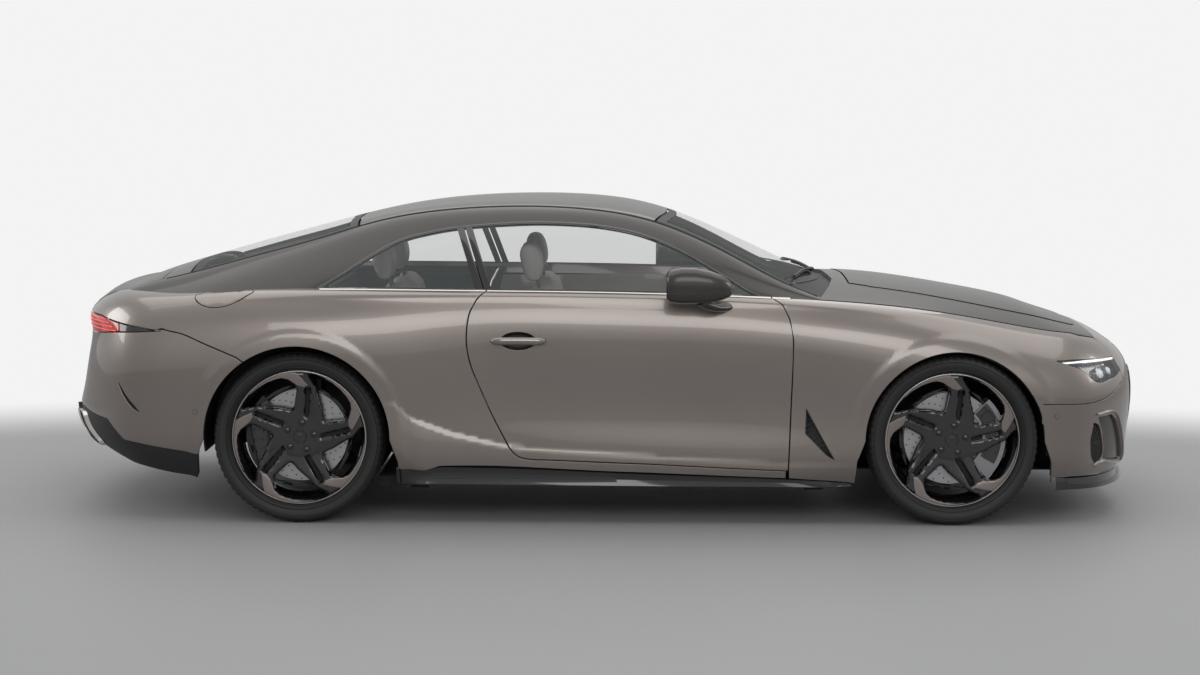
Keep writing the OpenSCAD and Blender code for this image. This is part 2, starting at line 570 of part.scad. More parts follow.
for (e = [["left", 1], ["right", -1]]) {
  on_side(e[1]) front_wing();
  on_side(e[1]) body_side();
  on_side(e[1]) door();
  on_side(e[1]) door_glass();
  on_side(e[1]) mirror_housing();
  knuckle(e[1]);
  for (a = [["front", front_axle_x, front_wheel_y, front_tyre_w], ["rear", rear_axle_x, rear_wheel_y, rear_tyre_w]]) {
    tyre(a[1], e[1] * a[2], a[3]);
    rim(a[1], e[1] * a[2], a[3], e[1]);
    disc(a[1], e[1] * a[2], e[1]);
  }
}
body_tub();
wheel_arch_liners();
subframes();
engine();
front_bumper();
grille();
headlamps();
lower_trim();
roof();
windscreen();
rear_window();
quarter_windows();
rear_deck();
rear_bumper();
tail_lamps();
exhaust_tips();
cowl();
dashboard();
steering_wheel();
front_seats();
rear_seats();
bonnet();
boot_lid();
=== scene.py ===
"""Looks of a two-door grand touring coupe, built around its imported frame.

Lengths are metres in the frame's own axes: +X to the nose, +Y to the car's left, +Z up. Tables of the
body's sections are millimetres, like the construction's own.
"""

import json
import logging
import math
from dataclasses import dataclass, field
from enum import Enum
from typing import Callable, Optional, Sequence

import bmesh
import bpy
import numpy as np
from mathutils import Matrix, Vector
from mathutils.geometry import delaunay_2d_cdt

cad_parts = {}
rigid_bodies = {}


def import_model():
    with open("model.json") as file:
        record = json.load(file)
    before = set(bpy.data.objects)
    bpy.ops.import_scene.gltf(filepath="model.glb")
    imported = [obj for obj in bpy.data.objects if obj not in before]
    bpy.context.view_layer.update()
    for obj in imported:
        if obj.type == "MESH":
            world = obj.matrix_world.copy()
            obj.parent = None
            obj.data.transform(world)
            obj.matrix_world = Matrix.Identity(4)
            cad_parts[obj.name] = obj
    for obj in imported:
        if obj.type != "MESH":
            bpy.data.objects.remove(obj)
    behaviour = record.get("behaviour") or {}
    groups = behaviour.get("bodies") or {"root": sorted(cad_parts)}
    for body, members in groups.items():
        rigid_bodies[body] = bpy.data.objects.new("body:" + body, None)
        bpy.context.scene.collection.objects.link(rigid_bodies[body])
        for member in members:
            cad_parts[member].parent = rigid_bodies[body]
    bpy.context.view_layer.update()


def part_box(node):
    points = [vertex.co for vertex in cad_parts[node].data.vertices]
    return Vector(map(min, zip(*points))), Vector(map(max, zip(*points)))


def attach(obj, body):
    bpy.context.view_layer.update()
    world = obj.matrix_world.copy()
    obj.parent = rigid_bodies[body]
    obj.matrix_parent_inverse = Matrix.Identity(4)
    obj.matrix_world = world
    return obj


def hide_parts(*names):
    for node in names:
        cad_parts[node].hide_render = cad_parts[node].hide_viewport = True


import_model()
LOG = logging.getLogger("coupe")
MM = 0.001
Point2 = tuple[float, float]
Rgb = tuple[float, float, float]


# ---------------------------------------------------------------- shader maths


class Value:
    """A number that a material works out, written with ordinary operators."""

    def __init__(self, tree: "Tree", socket: bpy.types.NodeSocket) -> None:
        """Wraps one output socket of a tree."""
        self.tree = tree
        self.socket = socket

    def _math(self, operation: str, first: object, second: object) -> "Value":
        """Adds one Math node.

        Args:
            operation: the node's operation.
            first: a Value or a number.
            second: a Value or a number.

        Returns:
            The node's result.
        """
        return self.tree.node("ShaderNodeMath", {"operation": operation}, {0: first, 1: second})

    def __add__(self, other: object) -> "Value":
        """Sum."""
        return self._math("ADD", self, other)

    def __sub__(self, other: object) -> "Value":
        """Difference."""
        return self._math("SUBTRACT", self, other)

    def __rsub__(self, other: object) -> "Value":
        """Reflected difference, so that 1 - mask works."""
        return self._math("SUBTRACT", other, self)

    def __mul__(self, other: object) -> "Value":
        """Product."""
        return self._math("MULTIPLY", self, other)

    __radd__ = __add__
    __rmul__ = __mul__


class Tree:
    """A node tree that is being filled."""

    def __init__(self, tree: bpy.types.NodeTree) -> None:
        """Empties the tree and keeps it."""
        self.tree = tree
        tree.nodes.clear()

    def node(self, kind: str, settings: Optional[dict] = None, inputs: Optional[dict] = None,
             out: object = 0) -> Value:
        """Adds any node.

        Args:
            kind: the node's type.
            settings: its properties; "stops" are a ramp's (position, colour) pairs.
            inputs: socket name or number, and the value or link that it takes.
            out: name or number of the output to return.

        Returns:
            The chosen output.
        """
        made = self.tree.nodes.new(kind)
        for key, value in (settings or {}).items():
            if key == "stops":
                ramp = made.color_ramp
                while len(ramp.elements) < len(value):
                    ramp.elements.new(0.5)
                for element, (position, colour) in zip(ramp.elements, value):
                    element.position = position
                    element.color = (*colour, 1.0)
            else:
                setattr(made, key, value)
        for key, value in (inputs or {}).items():
            if isinstance(value, Value):
                self.tree.links.new(value.socket, made.inputs[key])
            else:
                made.inputs[key].default_value = value
        return Value(self, made.outputs[out]) if len(made.outputs) else Value(self, None)

    def mix(self, factor: object, first: object, second: object) -> Value:
        """Mixes two colours.

        Args:
            factor: share of the second colour.
            first: colour at factor 0, a Value or (r, g, b).
            second: colour at factor 1, a Value or (r, g, b).

        Returns:
            The mixed colour.
        """
        rgba = [c if isinstance(c, Value) else (*c, 1.0) for c in (first, second)]
        return self.node("ShaderNodeMix", {"data_type": "RGBA"}, {0: factor, 6: rgba[0], 7: rgba[1]}, out=2)


class Grain(Enum):
    """What the fine surface of a finish is like."""

    FLAKE = "metallic flake under lacquer"
    MOULDED = "moulded plastic"
    RUBBER = "rubber"
    HIDE = "leather"
    CAST = "casting"
    TURNED = "turned metal"
    CLEAR = "polished"


@dataclass(frozen=True)
class Finish:
    """One surface finish.

    Attributes:
        name: the material's name.
        colour: its base colour, linear.
        roughness: how dull it is, 0 to 1.
        metallic: 0 or 1, or between for a metallic paint.
        coat: weight of the clear lacquer.
        grain: its fine surface.
        alpha: 1, or less for clear glass.
        glow: strength of its own light.
    """

    name: str
    colour: Rgb
    roughness: float = 0.4
    metallic: float = 0.0
    coat: float = 0.0
    grain: Grain = Grain.MOULDED
    alpha: float = 1.0
    glow: float = 0.0

    def _surface(self, tree: Tree) -> tuple[Value, Value, Optional[Value]]:
        """Works out the colour, the roughness and the normal.

        Args:
            tree: the material's tree.

        Returns:
            Colour, roughness, and the normal or None.
        """
        place = tree.node("ShaderNodeTexCoord", out="Object")
        scale, depth, spread, variation = {
            Grain.FLAKE: (1400.0, 0.004, 0.10, 0.10),
            Grain.MOULDED: (900.0, 0.06, 0.12, 0.08),
            Grain.RUBBER: (420.0, 0.10, 0.12, 0.15),
            Grain.HIDE: (260.0, 0.16, 0.12, 0.10),
            Grain.CAST: (240.0, 0.12, 0.15, 0.12),
            Grain.TURNED: (60.0, 0.02, 0.10, 0.06),
            Grain.CLEAR: (3.0, 0.0, 0.02, 0.02),
        }[self.grain]
        fine = tree.node("ShaderNodeTexNoise", {}, {"Vector": place, "Scale": scale, "Detail": 2.0})
        broad = tree.node("ShaderNodeTexNoise", {}, {"Vector": place, "Scale": 2.3, "Detail": 3.0})
        if self.grain is Grain.HIDE:
            cells = tree.node("ShaderNodeTexVoronoi", {"feature": "DISTANCE_TO_EDGE"},
                              {"Vector": place, "Scale": scale})
            fine = cells * 1.6
        dark = tuple(c * (1 - variation) for c in self.colour)
        light = tuple(min(1.0, c * (1 + variation)) for c in self.colour)
        colour = tree.mix(fine * 0.7 + broad * 0.3, dark, light)
        rough = broad * spread + (self.roughness - spread / 2)
        normal = None
        if depth > 0:
            normal = tree.node("ShaderNodeBump", {}, {"Strength": depth, "Distance": 0.001, "Height": fine})
        return colour, rough, normal

    def make(self) -> bpy.types.Material:
        """Builds the material.

        Returns:
            The material, ready to assign.
        """
        made = bpy.data.materials.new(self.name)
        made.use_nodes = True
        tree = Tree(made.node_tree)
        colour, rough, normal = self._surface(tree)
        inputs = {"Base Color": colour, "Roughness": rough, "Metallic": self.metallic,
                  "Coat Weight": self.coat, "Coat Roughness": 0.04}
        if normal is not None:
            inputs["Normal"] = normal
        if self.alpha < 1:
            inputs["Alpha"] = self.alpha
            made.surface_render_method = "BLENDED"
        if self.glow:
            inputs["Emission Color"] = (*self.colour, 1.0)
            inputs["Emission Strength"] = self.glow
        shader = tree.node("ShaderNodeBsdfPrincipled", {}, inputs)
        tree.node("ShaderNodeOutputMaterial", {}, {"Surface": shader})
        return made


class Paintbox:
    """All the car's materials by finish, made once."""

    BODY = Finish("champagne_bronze", (0.235, 0.205, 0.185), 0.34, 0.72, 1.0, Grain.FLAKE)
    UPPER = Finish("dark_bronze", (0.050, 0.046, 0.041), 0.30, 0.45, 0.35, Grain.FLAKE)
    GLOSS_BLACK = Finish("gloss_black", (0.006, 0.006, 0.007), 0.14, 0.0, 1.0, Grain.CLEAR)
    BLACK = Finish("moulded_black", (0.012, 0.012, 0.013), 0.52)
    GROMMET = Finish("seal_rubber", (0.010, 0.010, 0.010), 0.7, grain=Grain.RUBBER)
    BRIGHT = Finish("bright_trim", (0.56, 0.54, 0.51), 0.16, 1.0, grain=Grain.CLEAR)
    DARK_CHROME = Finish("dark_chrome", (0.10, 0.095, 0.09), 0.14, 1.0, 0.5, Grain.CLEAR)
    GLASS = Finish("window_glass", (0.30, 0.33, 0.33), 0.02, 0.0, 0.0, Grain.CLEAR, 0.22)
    LAMP_GLASS = Finish("lamp_glass", (0.6, 0.62, 0.64), 0.03, 0.0, 0.0, Grain.CLEAR, 0.18)
    RED_LENS = Finish("red_lens", (0.30, 0.012, 0.010), 0.12, 0.0, 1.0, Grain.CLEAR, 1.0, 0.35)
    LIGHT_BAR = Finish("light_bar", (1.0, 1.0, 1.0), 0.2, 0.0, 0.0, Grain.CLEAR, 1.0, 0.9)
    TYRE = Finish("tyre_rubber", (0.014, 0.014, 0.015), 0.62, grain=Grain.RUBBER)
    RIM = Finish("gunmetal_rim", (0.035, 0.035, 0.038), 0.24, 0.85, 1.0, Grain.FLAKE)
    RIM_BRIGHT = Finish("machined_rim", (0.42, 0.40, 0.38), 0.24, 1.0, 0.4, Grain.TURNED)
    RIM_BRONZE = Finish("bronze_blade", (0.24, 0.205, 0.190), 0.34, 0.8, 0.8, Grain.FLAKE)
    DISC = Finish("brake_disc", (0.42, 0.42, 0.43), 0.32, 0.9, 0.0, Grain.TURNED)
    CALIPER = Finish("black_caliper", (0.010, 0.010, 0.011), 0.22, 0.0, 1.0, Grain.CLEAR)
    CHASSIS = Finish("chassis_coat", (0.02, 0.02, 0.021), 0.5, grain=Grain.CAST)
    ALLOY = Finish("cast_alloy", (0.30, 0.30, 0.31), 0.45, 0.9, grain=Grain.CAST)
    HIDE = Finish("light_hide", (0.42, 0.39, 0.36), 0.48, grain=Grain.HIDE)
    LAMP_CORE = Finish("lamp_core", (0.75, 0.78, 0.82), 0.08, 0.0, 1.0, Grain.CLEAR, 1.0, 0.15)
    LIT_RED = Finish("lit_red", (0.75, 0.03, 0.02), 0.2, 0.0, 0.5, Grain.CLEAR, 1.0, 0.9)
    HANDLE = Finish("handle_metal", (0.27, 0.245, 0.225), 0.22, 0.95, 0.8, Grain.CLEAR)
    MIRROR = Finish("mirror_glass", (0.62, 0.64, 0.66), 0.02, 1.0, 0.0, Grain.CLEAR)
    CARPET = Finish("black_carpet", (0.016, 0.016, 0.017), 0.9, grain=Grain.CAST)
    LINING = Finish("cloth_lining", (0.16, 0.155, 0.148), 0.85, grain=Grain.HIDE)
    DARK_HIDE = Finish("dark_hide", (0.045, 0.042, 0.040), 0.5, grain=Grain.HIDE)

    def __init__(self) -> None:
        """Starts with no material made."""
        self._made: dict[str, bpy.types.Material] = {}

    def of(self, finish: Finish) -> bpy.types.Material:
        """The material of a finish, made at its first use."""
        if finish.name not in self._made:
            self._made[finish.name] = finish.make()
        return self._made[finish.name]


PAINTS = Paintbox()


# ---------------------------------------------------------------- meshes


@dataclass
class Shape:
    """Points, faces and normals of a piece that is being gathered.

    Attributes:
        points: the corners.
        faces: indices of the corners of each face.
        normals: one normal a corner, or None to leave them to the faces.
        slots: one material number a face.
    """

    points: list = field(default_factory=list)
    faces: list = field(default_factory=list)
    normals: Optional[list] = None
    slots: list = field(default_factory=list)

    def add(self, points: Sequence, faces: Sequence, slot: int = 0) -> "Shape":
        """Adds loose faces.

        Args:
            points: the new corners.
            faces: their faces, numbered from 0.
            slot: the faces' material number.

        Returns:
            Itself.
        """
        base = len(self.points)
        self.points.extend(tuple(float(c) for c in p) for p in points)
        self.faces.extend(tuple(base + i for i in f) for f in faces)
        self.slots.extend([slot] * len(faces))
        return self

    def mirrored(self) -> "Shape":
        """The same shape on the car's other side."""
        normals = None if self.normals is None else [(n[0], -n[1], n[2]) for n in self.normals]
        return Shape([(p[0], -p[1], p[2]) for p in self.points], [tuple(reversed(f)) for f in self.faces],
                     normals, list(self.slots))

    def joined(self, other: "Shape") -> "Shape":
        """This shape and another one as one, sharing what lies on the middle plane.

        Args:
            other: the mirrored shape.

        Returns:
            The whole shape.
        """
        index, points, normals = [], list(self.points), list(self.normals or [])
        middle = {tuple(round(c, 6) for c in p): i for i, p in enumerate(self.points) if abs(p[1]) < 1e-6}
        for k, p in enumerate(other.points):
            key = tuple(round(c, 6) for c in (p[0], abs(p[1]), p[2]))
            if abs(p[1]) < 1e-6 and key in middle:
                index.append(middle[key])
                continue
            index.append(len(points))
            points.append(p)
            if self.normals is not None:
                normals.append(other.normals[k])
        faces = self.faces + [tuple(index[i] for i in f) for f in other.faces]
        return Shape(points, faces, normals if self.normals is not None else None, self.slots + other.slots)


def piece(name: str, shape: Shape, finishes: Sequence[Finish], body: str,
          smooth: float = 30.0) -> bpy.types.Object:
    """Makes one object of a shape and ties it to its body.

    Args:
        name: the piece's name.
        shape: what it is made of.
        finishes: its materials, by number.
        body: the body that it rides on.
        smooth: angle up to which edges are smooth, in degrees.

    Returns:
        The object.
    """
    mesh = bpy.data.meshes.new(name)
    mesh.from_pydata(shape.points, [], shape.faces)
    for finish in finishes:
        mesh.materials.append(PAINTS.of(finish))
    mesh.polygons.foreach_set("material_index", shape.slots)
    mesh.validate(clean_customdata=False)
    if shape.normals is not None:
        mesh.shade_smooth()
        mesh.normals_split_custom_set_from_vertices(shape.normals)
    else:
        mesh.set_sharp_from_angle(angle=math.radians(smooth))
        mesh.shade_smooth() if smooth >= 180 else mesh.polygons.foreach_set(
            "use_smooth", [True] * len(mesh.polygons))
    mesh.update()
    made = bpy.data.objects.new(name, mesh)
    bpy.context.scene.collection.objects.link(made)
    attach(made, body)
    LOG.info("%s: %d faces on %s", name, len(mesh.polygons), body)
    return made


def in_polygon(points: np.ndarray, polygon: np.ndarray) -> np.ndarray:
    """Which points lie inside a polygon.

    Args:
        points: (n, 2).
        polygon: (m, 2).

    Returns:
        A mask of n.
    """
    x, y = points[:, 0][:, None], points[:, 1][:, None]
    a, b = polygon, np.roll(polygon, -1, axis=0)
    crosses = (a[:, 1] > y) != (b[:, 1] > y)
    with np.errstate(divide="ignore", invalid="ignore"):
        at = (b[:, 0] - a[:, 0]) * (y - a[:, 1]) / (b[:, 1] - a[:, 1]) + a[:, 0]
    return (np.sum(crosses & (x < at), axis=1) % 2) == 1


def edge_distance(points: np.ndarray, polygon: np.ndarray) -> np.ndarray:
    """Distance of each point from a polygon's edges.

    Args:
        points: (n, 2).
        polygon: (m, 2).

    Returns:
        n distances.
    """
    a, b = polygon[None], np.roll(polygon, -1, axis=0)[None]
    p = points[:, None]
    d = b - a
    t = np.clip(np.sum((p - a) * d, axis=2) / np.maximum(np.sum(d * d, axis=2), 1e-12), 0, 1)
    return np.min(np.linalg.norm(p - a - t[..., None] * d, axis=2), axis=1)


def resampled(polygon: np.ndarray, step: float) -> np.ndarray:
    """A polygon with no edge longer than step.

    Args:
        polygon: (m, 2).
        step: the longest edge allowed.

    Returns:
        The finer polygon.
    """
    out = []
    for a, b in zip(polygon, np.roll(polygon, -1, axis=0)):
        length = float(np.linalg.norm(b - a))
        if length < 1e-5:
            continue
        n = max(1, math.ceil(length / step))
        out.extend(a + (b - a) * k / n for k in range(n))
    return np.array(out)


def inset(polygon: np.ndarray, distance: np.ndarray) -> np.ndarray:
    """Moves each edge of a polygon inwards by its own distance.

    Args:
        polygon: (m, 2), counter-clockwise.
        distance: m distances, one for the edge after each corner.

    Returns:
        The moved corners.
    """
    edge = np.roll(polygon, -1, axis=0) - polygon
    edge /= np.maximum(np.linalg.norm(edge, axis=1, keepdims=True), 1e-9)
    normal = np.stack([-edge[:, 1], edge[:, 0]], axis=1)
    before, gap = np.roll(normal, 1, axis=0), np.roll(distance, 1)
    total = before + normal
    size = np.maximum(np.sum(total * total, axis=1), 0.35)
    even = total * ((gap + distance) / size)[:, None]
    cross = before[:, 0] * normal[:, 1] - before[:, 1] * normal[:, 0]
    sharp = np.abs(cross) > 0.5
    solved = np.stack([(gap * normal[:, 1] - distance * before[:, 1]),
                       (distance * before[:, 0] - gap * normal[:, 0])], axis=1)
    solved = solved / np.where(sharp, cross, 1)[:, None]
    return polygon + np.where(sharp[:, None], solved, even)


def fill(outline: np.ndarray, holes: Sequence[np.ndarray], step: float) -> tuple[np.ndarray, list]:
    """Fills a flat outline with even triangles.

    Args:
        outline: (m, 2), counter-clockwise.
        holes: outlines that stay open.
        step: size of the triangles.

    Returns:
        All points, the outline's and the holes' first, and the triangles.
    """
    low, high = outline.min(0), outline.max(0)
    rows = np.arange(low[1] + step / 2, high[1], step * 0.87)
    grid = np.array([(x, y) for k, y in enumerate(rows)
                     for x in np.arange(low[0] + (step / 2 if k % 2 else 0), high[0], step)]).reshape(-1, 2)
    keep = in_polygon(grid, outline) & (edge_distance(grid, outline) > step * 0.45)
    for hole in holes:
        keep &= ~in_polygon(grid, hole) & (edge_distance(grid, hole) > step * 0.45)
    loops, start = [], 0
    for loop in (outline, *holes):
        loops += [(start + k, start + (k + 1) % len(loop)) for k in range(len(loop))]
        start += len(loop)
    points = np.concatenate([outline, *holes, grid[keep]])
    found = delaunay_2d_cdt([Vector(p) for p in points], loops, [], 0, 1e-7)
    where = np.array([tuple(v) for v in found[0]])
    faces = np.array([f for f in found[2] if len(f) == 3])
    centre = where[faces].mean(axis=1)
    inside = in_polygon(centre, outline)
    for hole in holes:
        inside &= ~in_polygon(centre, hole)
    return where, [tuple(int(i) for i in f) for f in faces[inside]]


# ---------------------------------------------------------------- the body's surfaces


class Side(Enum):
    """Which way an outline is drawn: the two axes it gives and the way the surface faces."""

    SIDE = (0, 2, 1, 1.0)
    TOP = (0, 1, 2, 1.0)
    REAR = (1, 2, 0, -1.0)
    FRONT = (1, 2, 0, 1.0)


class Skin:
    """A smooth surface over sections of the car's left half.

    Sections run from tail to nose; each has its points from the sill to the middle plane.
    """

    def __init__(self, sections: np.ndarray, closed: bool,
                 relief: Optional[Callable[[np.ndarray], np.ndarray]] = None) -> None:
        """Sets up the net of control points and the chart.

        Args:
            sections: (rows, columns, 3).
            closed: True if the first and last sections lie on the middle plane.
            relief: height to add over points of the surface, in metres.
        """
        self.rows, self.columns = sections.shape[:2]
        self.relief = relief
        self.net = self._around(self._wide_all(self._sharp(self._around(
            np.stack([self._sharp(self._wide(r)) for r in sections]), closed))), closed)
        flat = sections
        self.u_knots = np.concatenate([[0], np.cumsum(np.linalg.norm(
            np.diff(flat[:, 3:6].mean(axis=1), axis=0), axis=1))])
        middle = self.rows // 2
        self.v_knots = np.concatenate([[0], np.cumsum(np.linalg.norm(np.diff(flat[middle], axis=0), axis=1))])
        steps = 10
        us = np.linspace(0, self.rows - 1, steps * (self.rows - 1) + 1)
        vs = np.linspace(0, self.columns - 1, steps * (self.columns - 1) + 1)
        grid = np.stack(np.meshgrid(us, vs, indexing="ij"), axis=-1).reshape(-1, 2)
        self.samples = grid
        self.sample_points = self.smooth(grid)
        self.sample_normals = self._normals(grid, self.smooth)

    @staticmethod
    def _flip(p: np.ndarray) -> np.ndarray:
        """Points on the other side."""
        return p * np.array([1, -1, 1])

    def _wide(self, r: np.ndarray) -> np.ndarray:
        """A section with one more point at each end."""
        return np.concatenate([[2 * r[0] - r[1]], r, [self._flip(r[-2])]])

    def _wide_all(self, g: np.ndarray) -> np.ndarray:
        """Every section of a net, widened."""
        return np.stack([self._wide(r) for r in g])

    def _around(self, g: np.ndarray, closed: bool) -> np.ndarray:
        """A net with one more section at each end."""
        if closed:
            return np.concatenate([[self._flip(g[1])], g, [self._flip(g[-2])]])
        return np.concatenate([[2 * g[0] - g[1]], g, [2 * g[-1] - g[-2]]])

    @staticmethod
    def _sharp(e: np.ndarray) -> np.ndarray:
        """Control points that bring a cubic close to the given ones."""
        return e[1:-1] - (e[:-2] - 2 * e[1:-1] + e[2:]) / 6

    def smooth(self, uv: np.ndarray) -> np.ndarray:
        """The surface without its relief.

        Args:
            uv: (n, 2) section and point numbers, with fractions.

        Returns:
            (n, 3) points.
        """
        u = np.clip(uv[:, 0], 0, self.rows - 1)
        v = np.clip(uv[:, 1], 0, self.columns - 1)
        i = np.minimum(u.astype(int), self.rows - 2)
        j = np.minimum(v.astype(int), self.columns - 2)
        a, b = self._weights(u - i), self._weights(v - j)
        out = np.zeros((len(u), 3))
        for k in range(4):
            for m in range(4):
                out += (a[k] * b[m])[:, None] * self.net[i + k, j + m]
        return out

    @staticmethod
    def _weights(t: np.ndarray) -> list[np.ndarray]:
        """The four cubic weights."""
        return [(1 - t) ** 3 / 6, (3 * t ** 3 - 6 * t * t + 4) / 6,
                (-3 * t ** 3 + 3 * t * t + 3 * t + 1) / 6, t ** 3 / 6]

    def _normals(self, uv: np.ndarray, surface: Callable[[np.ndarray], np.ndarray]) -> np.ndarray:
        """Outward normals of a surface over this chart.

        Args:
            uv: (n, 2).
            surface: what gives its points.

        Returns:
            (n, 3) unit normals.
        """
        e = 2e-3
        span = np.array([self.rows - 1, self.columns - 1])
        sides = []
        for axis in (0, 1):
            step = np.zeros(2)
            step[axis] = e
            high, low = np.minimum(uv + step, span), np.maximum(uv - step, 0)
            sides.append(surface(high) - surface(low))
        n = np.cross(sides[1], sides[0])
        n /= np.maximum(np.linalg.norm(n, axis=1, keepdims=True), 1e-12)
        return n

    def point(self, uv: np.ndarray) -> np.ndarray:
        """The surface with its relief."""
        p = self.smooth(uv)
        if self.relief is None:
            return p
        n = self._normals(uv, self.smooth)
        raised = p + n * self.relief(p)[:, None]
        raised[:, 1] = np.where(np.abs(p[:, 1]) < 1e-9, 0, raised[:, 1])
        return raised

    def chart(self, uv: np.ndarray) -> np.ndarray:
        """Section and point numbers as lengths, so that shapes keep their proportions."""
        return np.stack([np.interp(uv[:, 0], np.arange(self.rows), self.u_knots),
                         np.interp(uv[:, 1], np.arange(self.columns), self.v_knots)], axis=1)

    def unchart(self, c: np.ndarray) -> np.ndarray:
        """The other way: lengths as section and point numbers."""
        return np.stack([np.interp(c[:, 0], self.u_knots, np.arange(self.rows)),
                         np.interp(c[:, 1], self.v_knots, np.arange(self.columns))], axis=1)

    def find(self, points: Sequence[Point2], side: Side) -> np.ndarray:
        """Where the points of a flat outline lie on the surface.

        Args:
            points: the outline's points in the two axes of its view.
            side: which view it is drawn in.

        Returns:
            (n, 2) places in the chart.
        """
        a, b, facing, sign = side.value
        wanted = np.array(points, float)
        mask = self.sample_normals[:, facing] * sign > 0.03
        pool, flat = self.samples[mask], self.sample_points[mask][:, [a, b]]
        nearest = np.argmin(((wanted[:, None] - flat[None]) ** 2).sum(axis=2), axis=1)
        uv = pool[nearest].copy()
        e, top = 1e-3, np.array([self.rows - 1, self.columns - 1])
        for _ in range(8):
            here = self.smooth(uv)[:, [a, b]]
            du = (self.smooth(np.minimum(uv + [e, 0], top))[:, [a, b]] - here) / e
            dv = (self.smooth(np.minimum(uv + [0, e], top))[:, [a, b]] - here) / e
            det = du[:, 0] * dv[:, 1] - du[:, 1] * dv[:, 0]
            det = np.where(np.abs(det) < 1e-6, 1e-6, det)
            miss = wanted - here
            step = np.stack([(miss[:, 0] * dv[:, 1] - miss[:, 1] * dv[:, 0]) / det,
                             (du[:, 0] * miss[:, 1] - du[:, 1] * miss[:, 0]) / det], axis=1)
            uv = np.clip(uv + np.clip(step, -0.3, 0.3), 0, top)
        return self.chart(uv)

    def panel(self, outline: np.ndarray, holes: Sequence[np.ndarray] = (), gap: float = 0.0022,
              lip: float = 0.0022, depth: float = 0.014, step: float = 0.03, rise: float = 0.0) -> Shape:
        """Cuts one panel out of the surface, with its edges turned in.

        Args:
            outline: (n, 2) places in the chart.
            holes: openings in the panel, likewise.
            gap: how far the panel stays inside its outline.
            lip: radius of its rounded edge.
            depth: how far its edge is turned in; 0 leaves it a sheet.
            step: size of its triangles.
            rise: height over the surface.

        Returns:
            The panel on the car's left half.
        """
        span = self.chart(np.array([[self.rows - 1, self.columns - 1.0]]))[0]
        loops = []
        for k, loop in enumerate((outline, *holes)):
            loop = resampled(np.asarray(loop, float), 0.012)
            area = np.sum(loop[:, 0] * np.roll(loop[:, 1], -1) - loop[:, 1] * np.roll(loop[:, 0], -1))
            if (area > 0) == (k > 0):
                loop = loop[::-1]
            nxt = np.roll(loop, -1, axis=0)
            on_middle = ((loop[:, 1] > span[1] - 1e-6) & (nxt[:, 1] > span[1] - 1e-6)
                         | (loop[:, 0] < 1e-6) & (nxt[:, 0] < 1e-6)
                         | (loop[:, 0] > span[0] - 1e-6) & (nxt[:, 0] > span[0] - 1e-6))
            loops.append((loop, on_middle))
        if depth <= 0:
            lip = 0.0
        inner = [inset(loop, np.where(middle, 0, gap + lip)) for loop, middle in loops]
        places, faces = fill(inner[0], inner[1:], step)
        count = sum(len(x) for x in inner)
        uv = self.unchart(places)
        normals = self._normals(uv, self.point)
        points = self.point(uv) + normals * rise
        normals = self._on_middle(points, normals)
        shape = Shape([tuple(p) for p in points], [f[::-1] for f in faces], [tuple(n) for n in normals])
        if depth > 0:
            start = 0
            rings = ((gap + lip * 0.3, lip * 0.3, 0.5), (gap, lip, 1.0), (gap, depth, 1.0))
            for loop, middle in loops:
                before = np.arange(start, start + len(loop))
                base = points[before]
                outward = self.point(self.unchart(inset(loop, np.where(middle, 0, gap)))) - base
                outward /= np.maximum(np.linalg.norm(outward, axis=1, keepdims=True), 1e-9)
                for distance, drop, turn in rings:
                    spots = self.unchart(inset(loop, np.where(middle, 0, distance)))
                    n = self._normals(spots, self.point)
                    p = self.point(spots) + n * (rise - drop)
                    p[:, 1] = np.where(np.abs(base[:, 1]) < 1e-9, 0, p[:, 1])
                    shade = n * (1 - turn) + outward * turn
                    shade /= np.maximum(np.linalg.norm(shade, axis=1, keepdims=True), 1e-9)
                    first = len(shape.points)
                    shape.points += [tuple(x) for x in p]
                    shape.normals += [tuple(x) for x in shade]
                    for k in range(len(loop)):
                        m = (k + 1) % len(loop)
                        if not middle[k]:
                            shape.faces.append((before[k], before[m], first + m, first + k))
                    before = np.arange(first, first + len(loop))
                start += len(loop)
        shape.faces = [tuple(int(i) for i in f) for f in shape.faces]
        shape.slots = [0] * len(shape.faces)
        assert count <= len(points)
        return shape

    @staticmethod
    def _on_middle(points: np.ndarray, normals: np.ndarray) -> np.ndarray:
        """Normals with no sideways part where the surface crosses the middle plane."""
        flat = np.abs(points[:, 1]) < 1e-6
        points[flat, 1] = 0
        normals[flat, 1] = 0
        return normals / np.maximum(np.linalg.norm(normals, axis=1, keepdims=True), 1e-9)

    def line(self, start: Point2, end: Point2, count: int = 12) -> np.ndarray:
        """Places in the chart along one line of section and point numbers."""
        t = np.linspace(0, 1, count)[:, None]
        return self.chart(np.array(start) * (1 - t) + np.array(end) * t)


def curve(points: Sequence[Point2], steps: int = 8) -> list[Point2]:
    """A smooth line through points.

    Args:
        points: what it passes through.
        steps: points it gets between two of them.

    Returns:
        The line's points.
    """
    p = np.array(points, float)
    p = np.concatenate([[2 * p[0] - p[1]], p, [2 * p[-1] - p[-2]]])
    out = []
    for k in range(1, len(p) - 2):
        for t in np.arange(steps) / steps:
            out.append(tuple(0.5 * (2 * p[k] + (p[k + 1] - p[k - 1]) * t
                                    + (2 * p[k - 1] - 5 * p[k] + 4 * p[k + 1] - p[k + 2]) * t * t
                                    + (3 * p[k] - p[k - 1] - 3 * p[k + 1] + p[k + 2]) * t ** 3)))
    out.append(tuple(p[-2]))
    return out


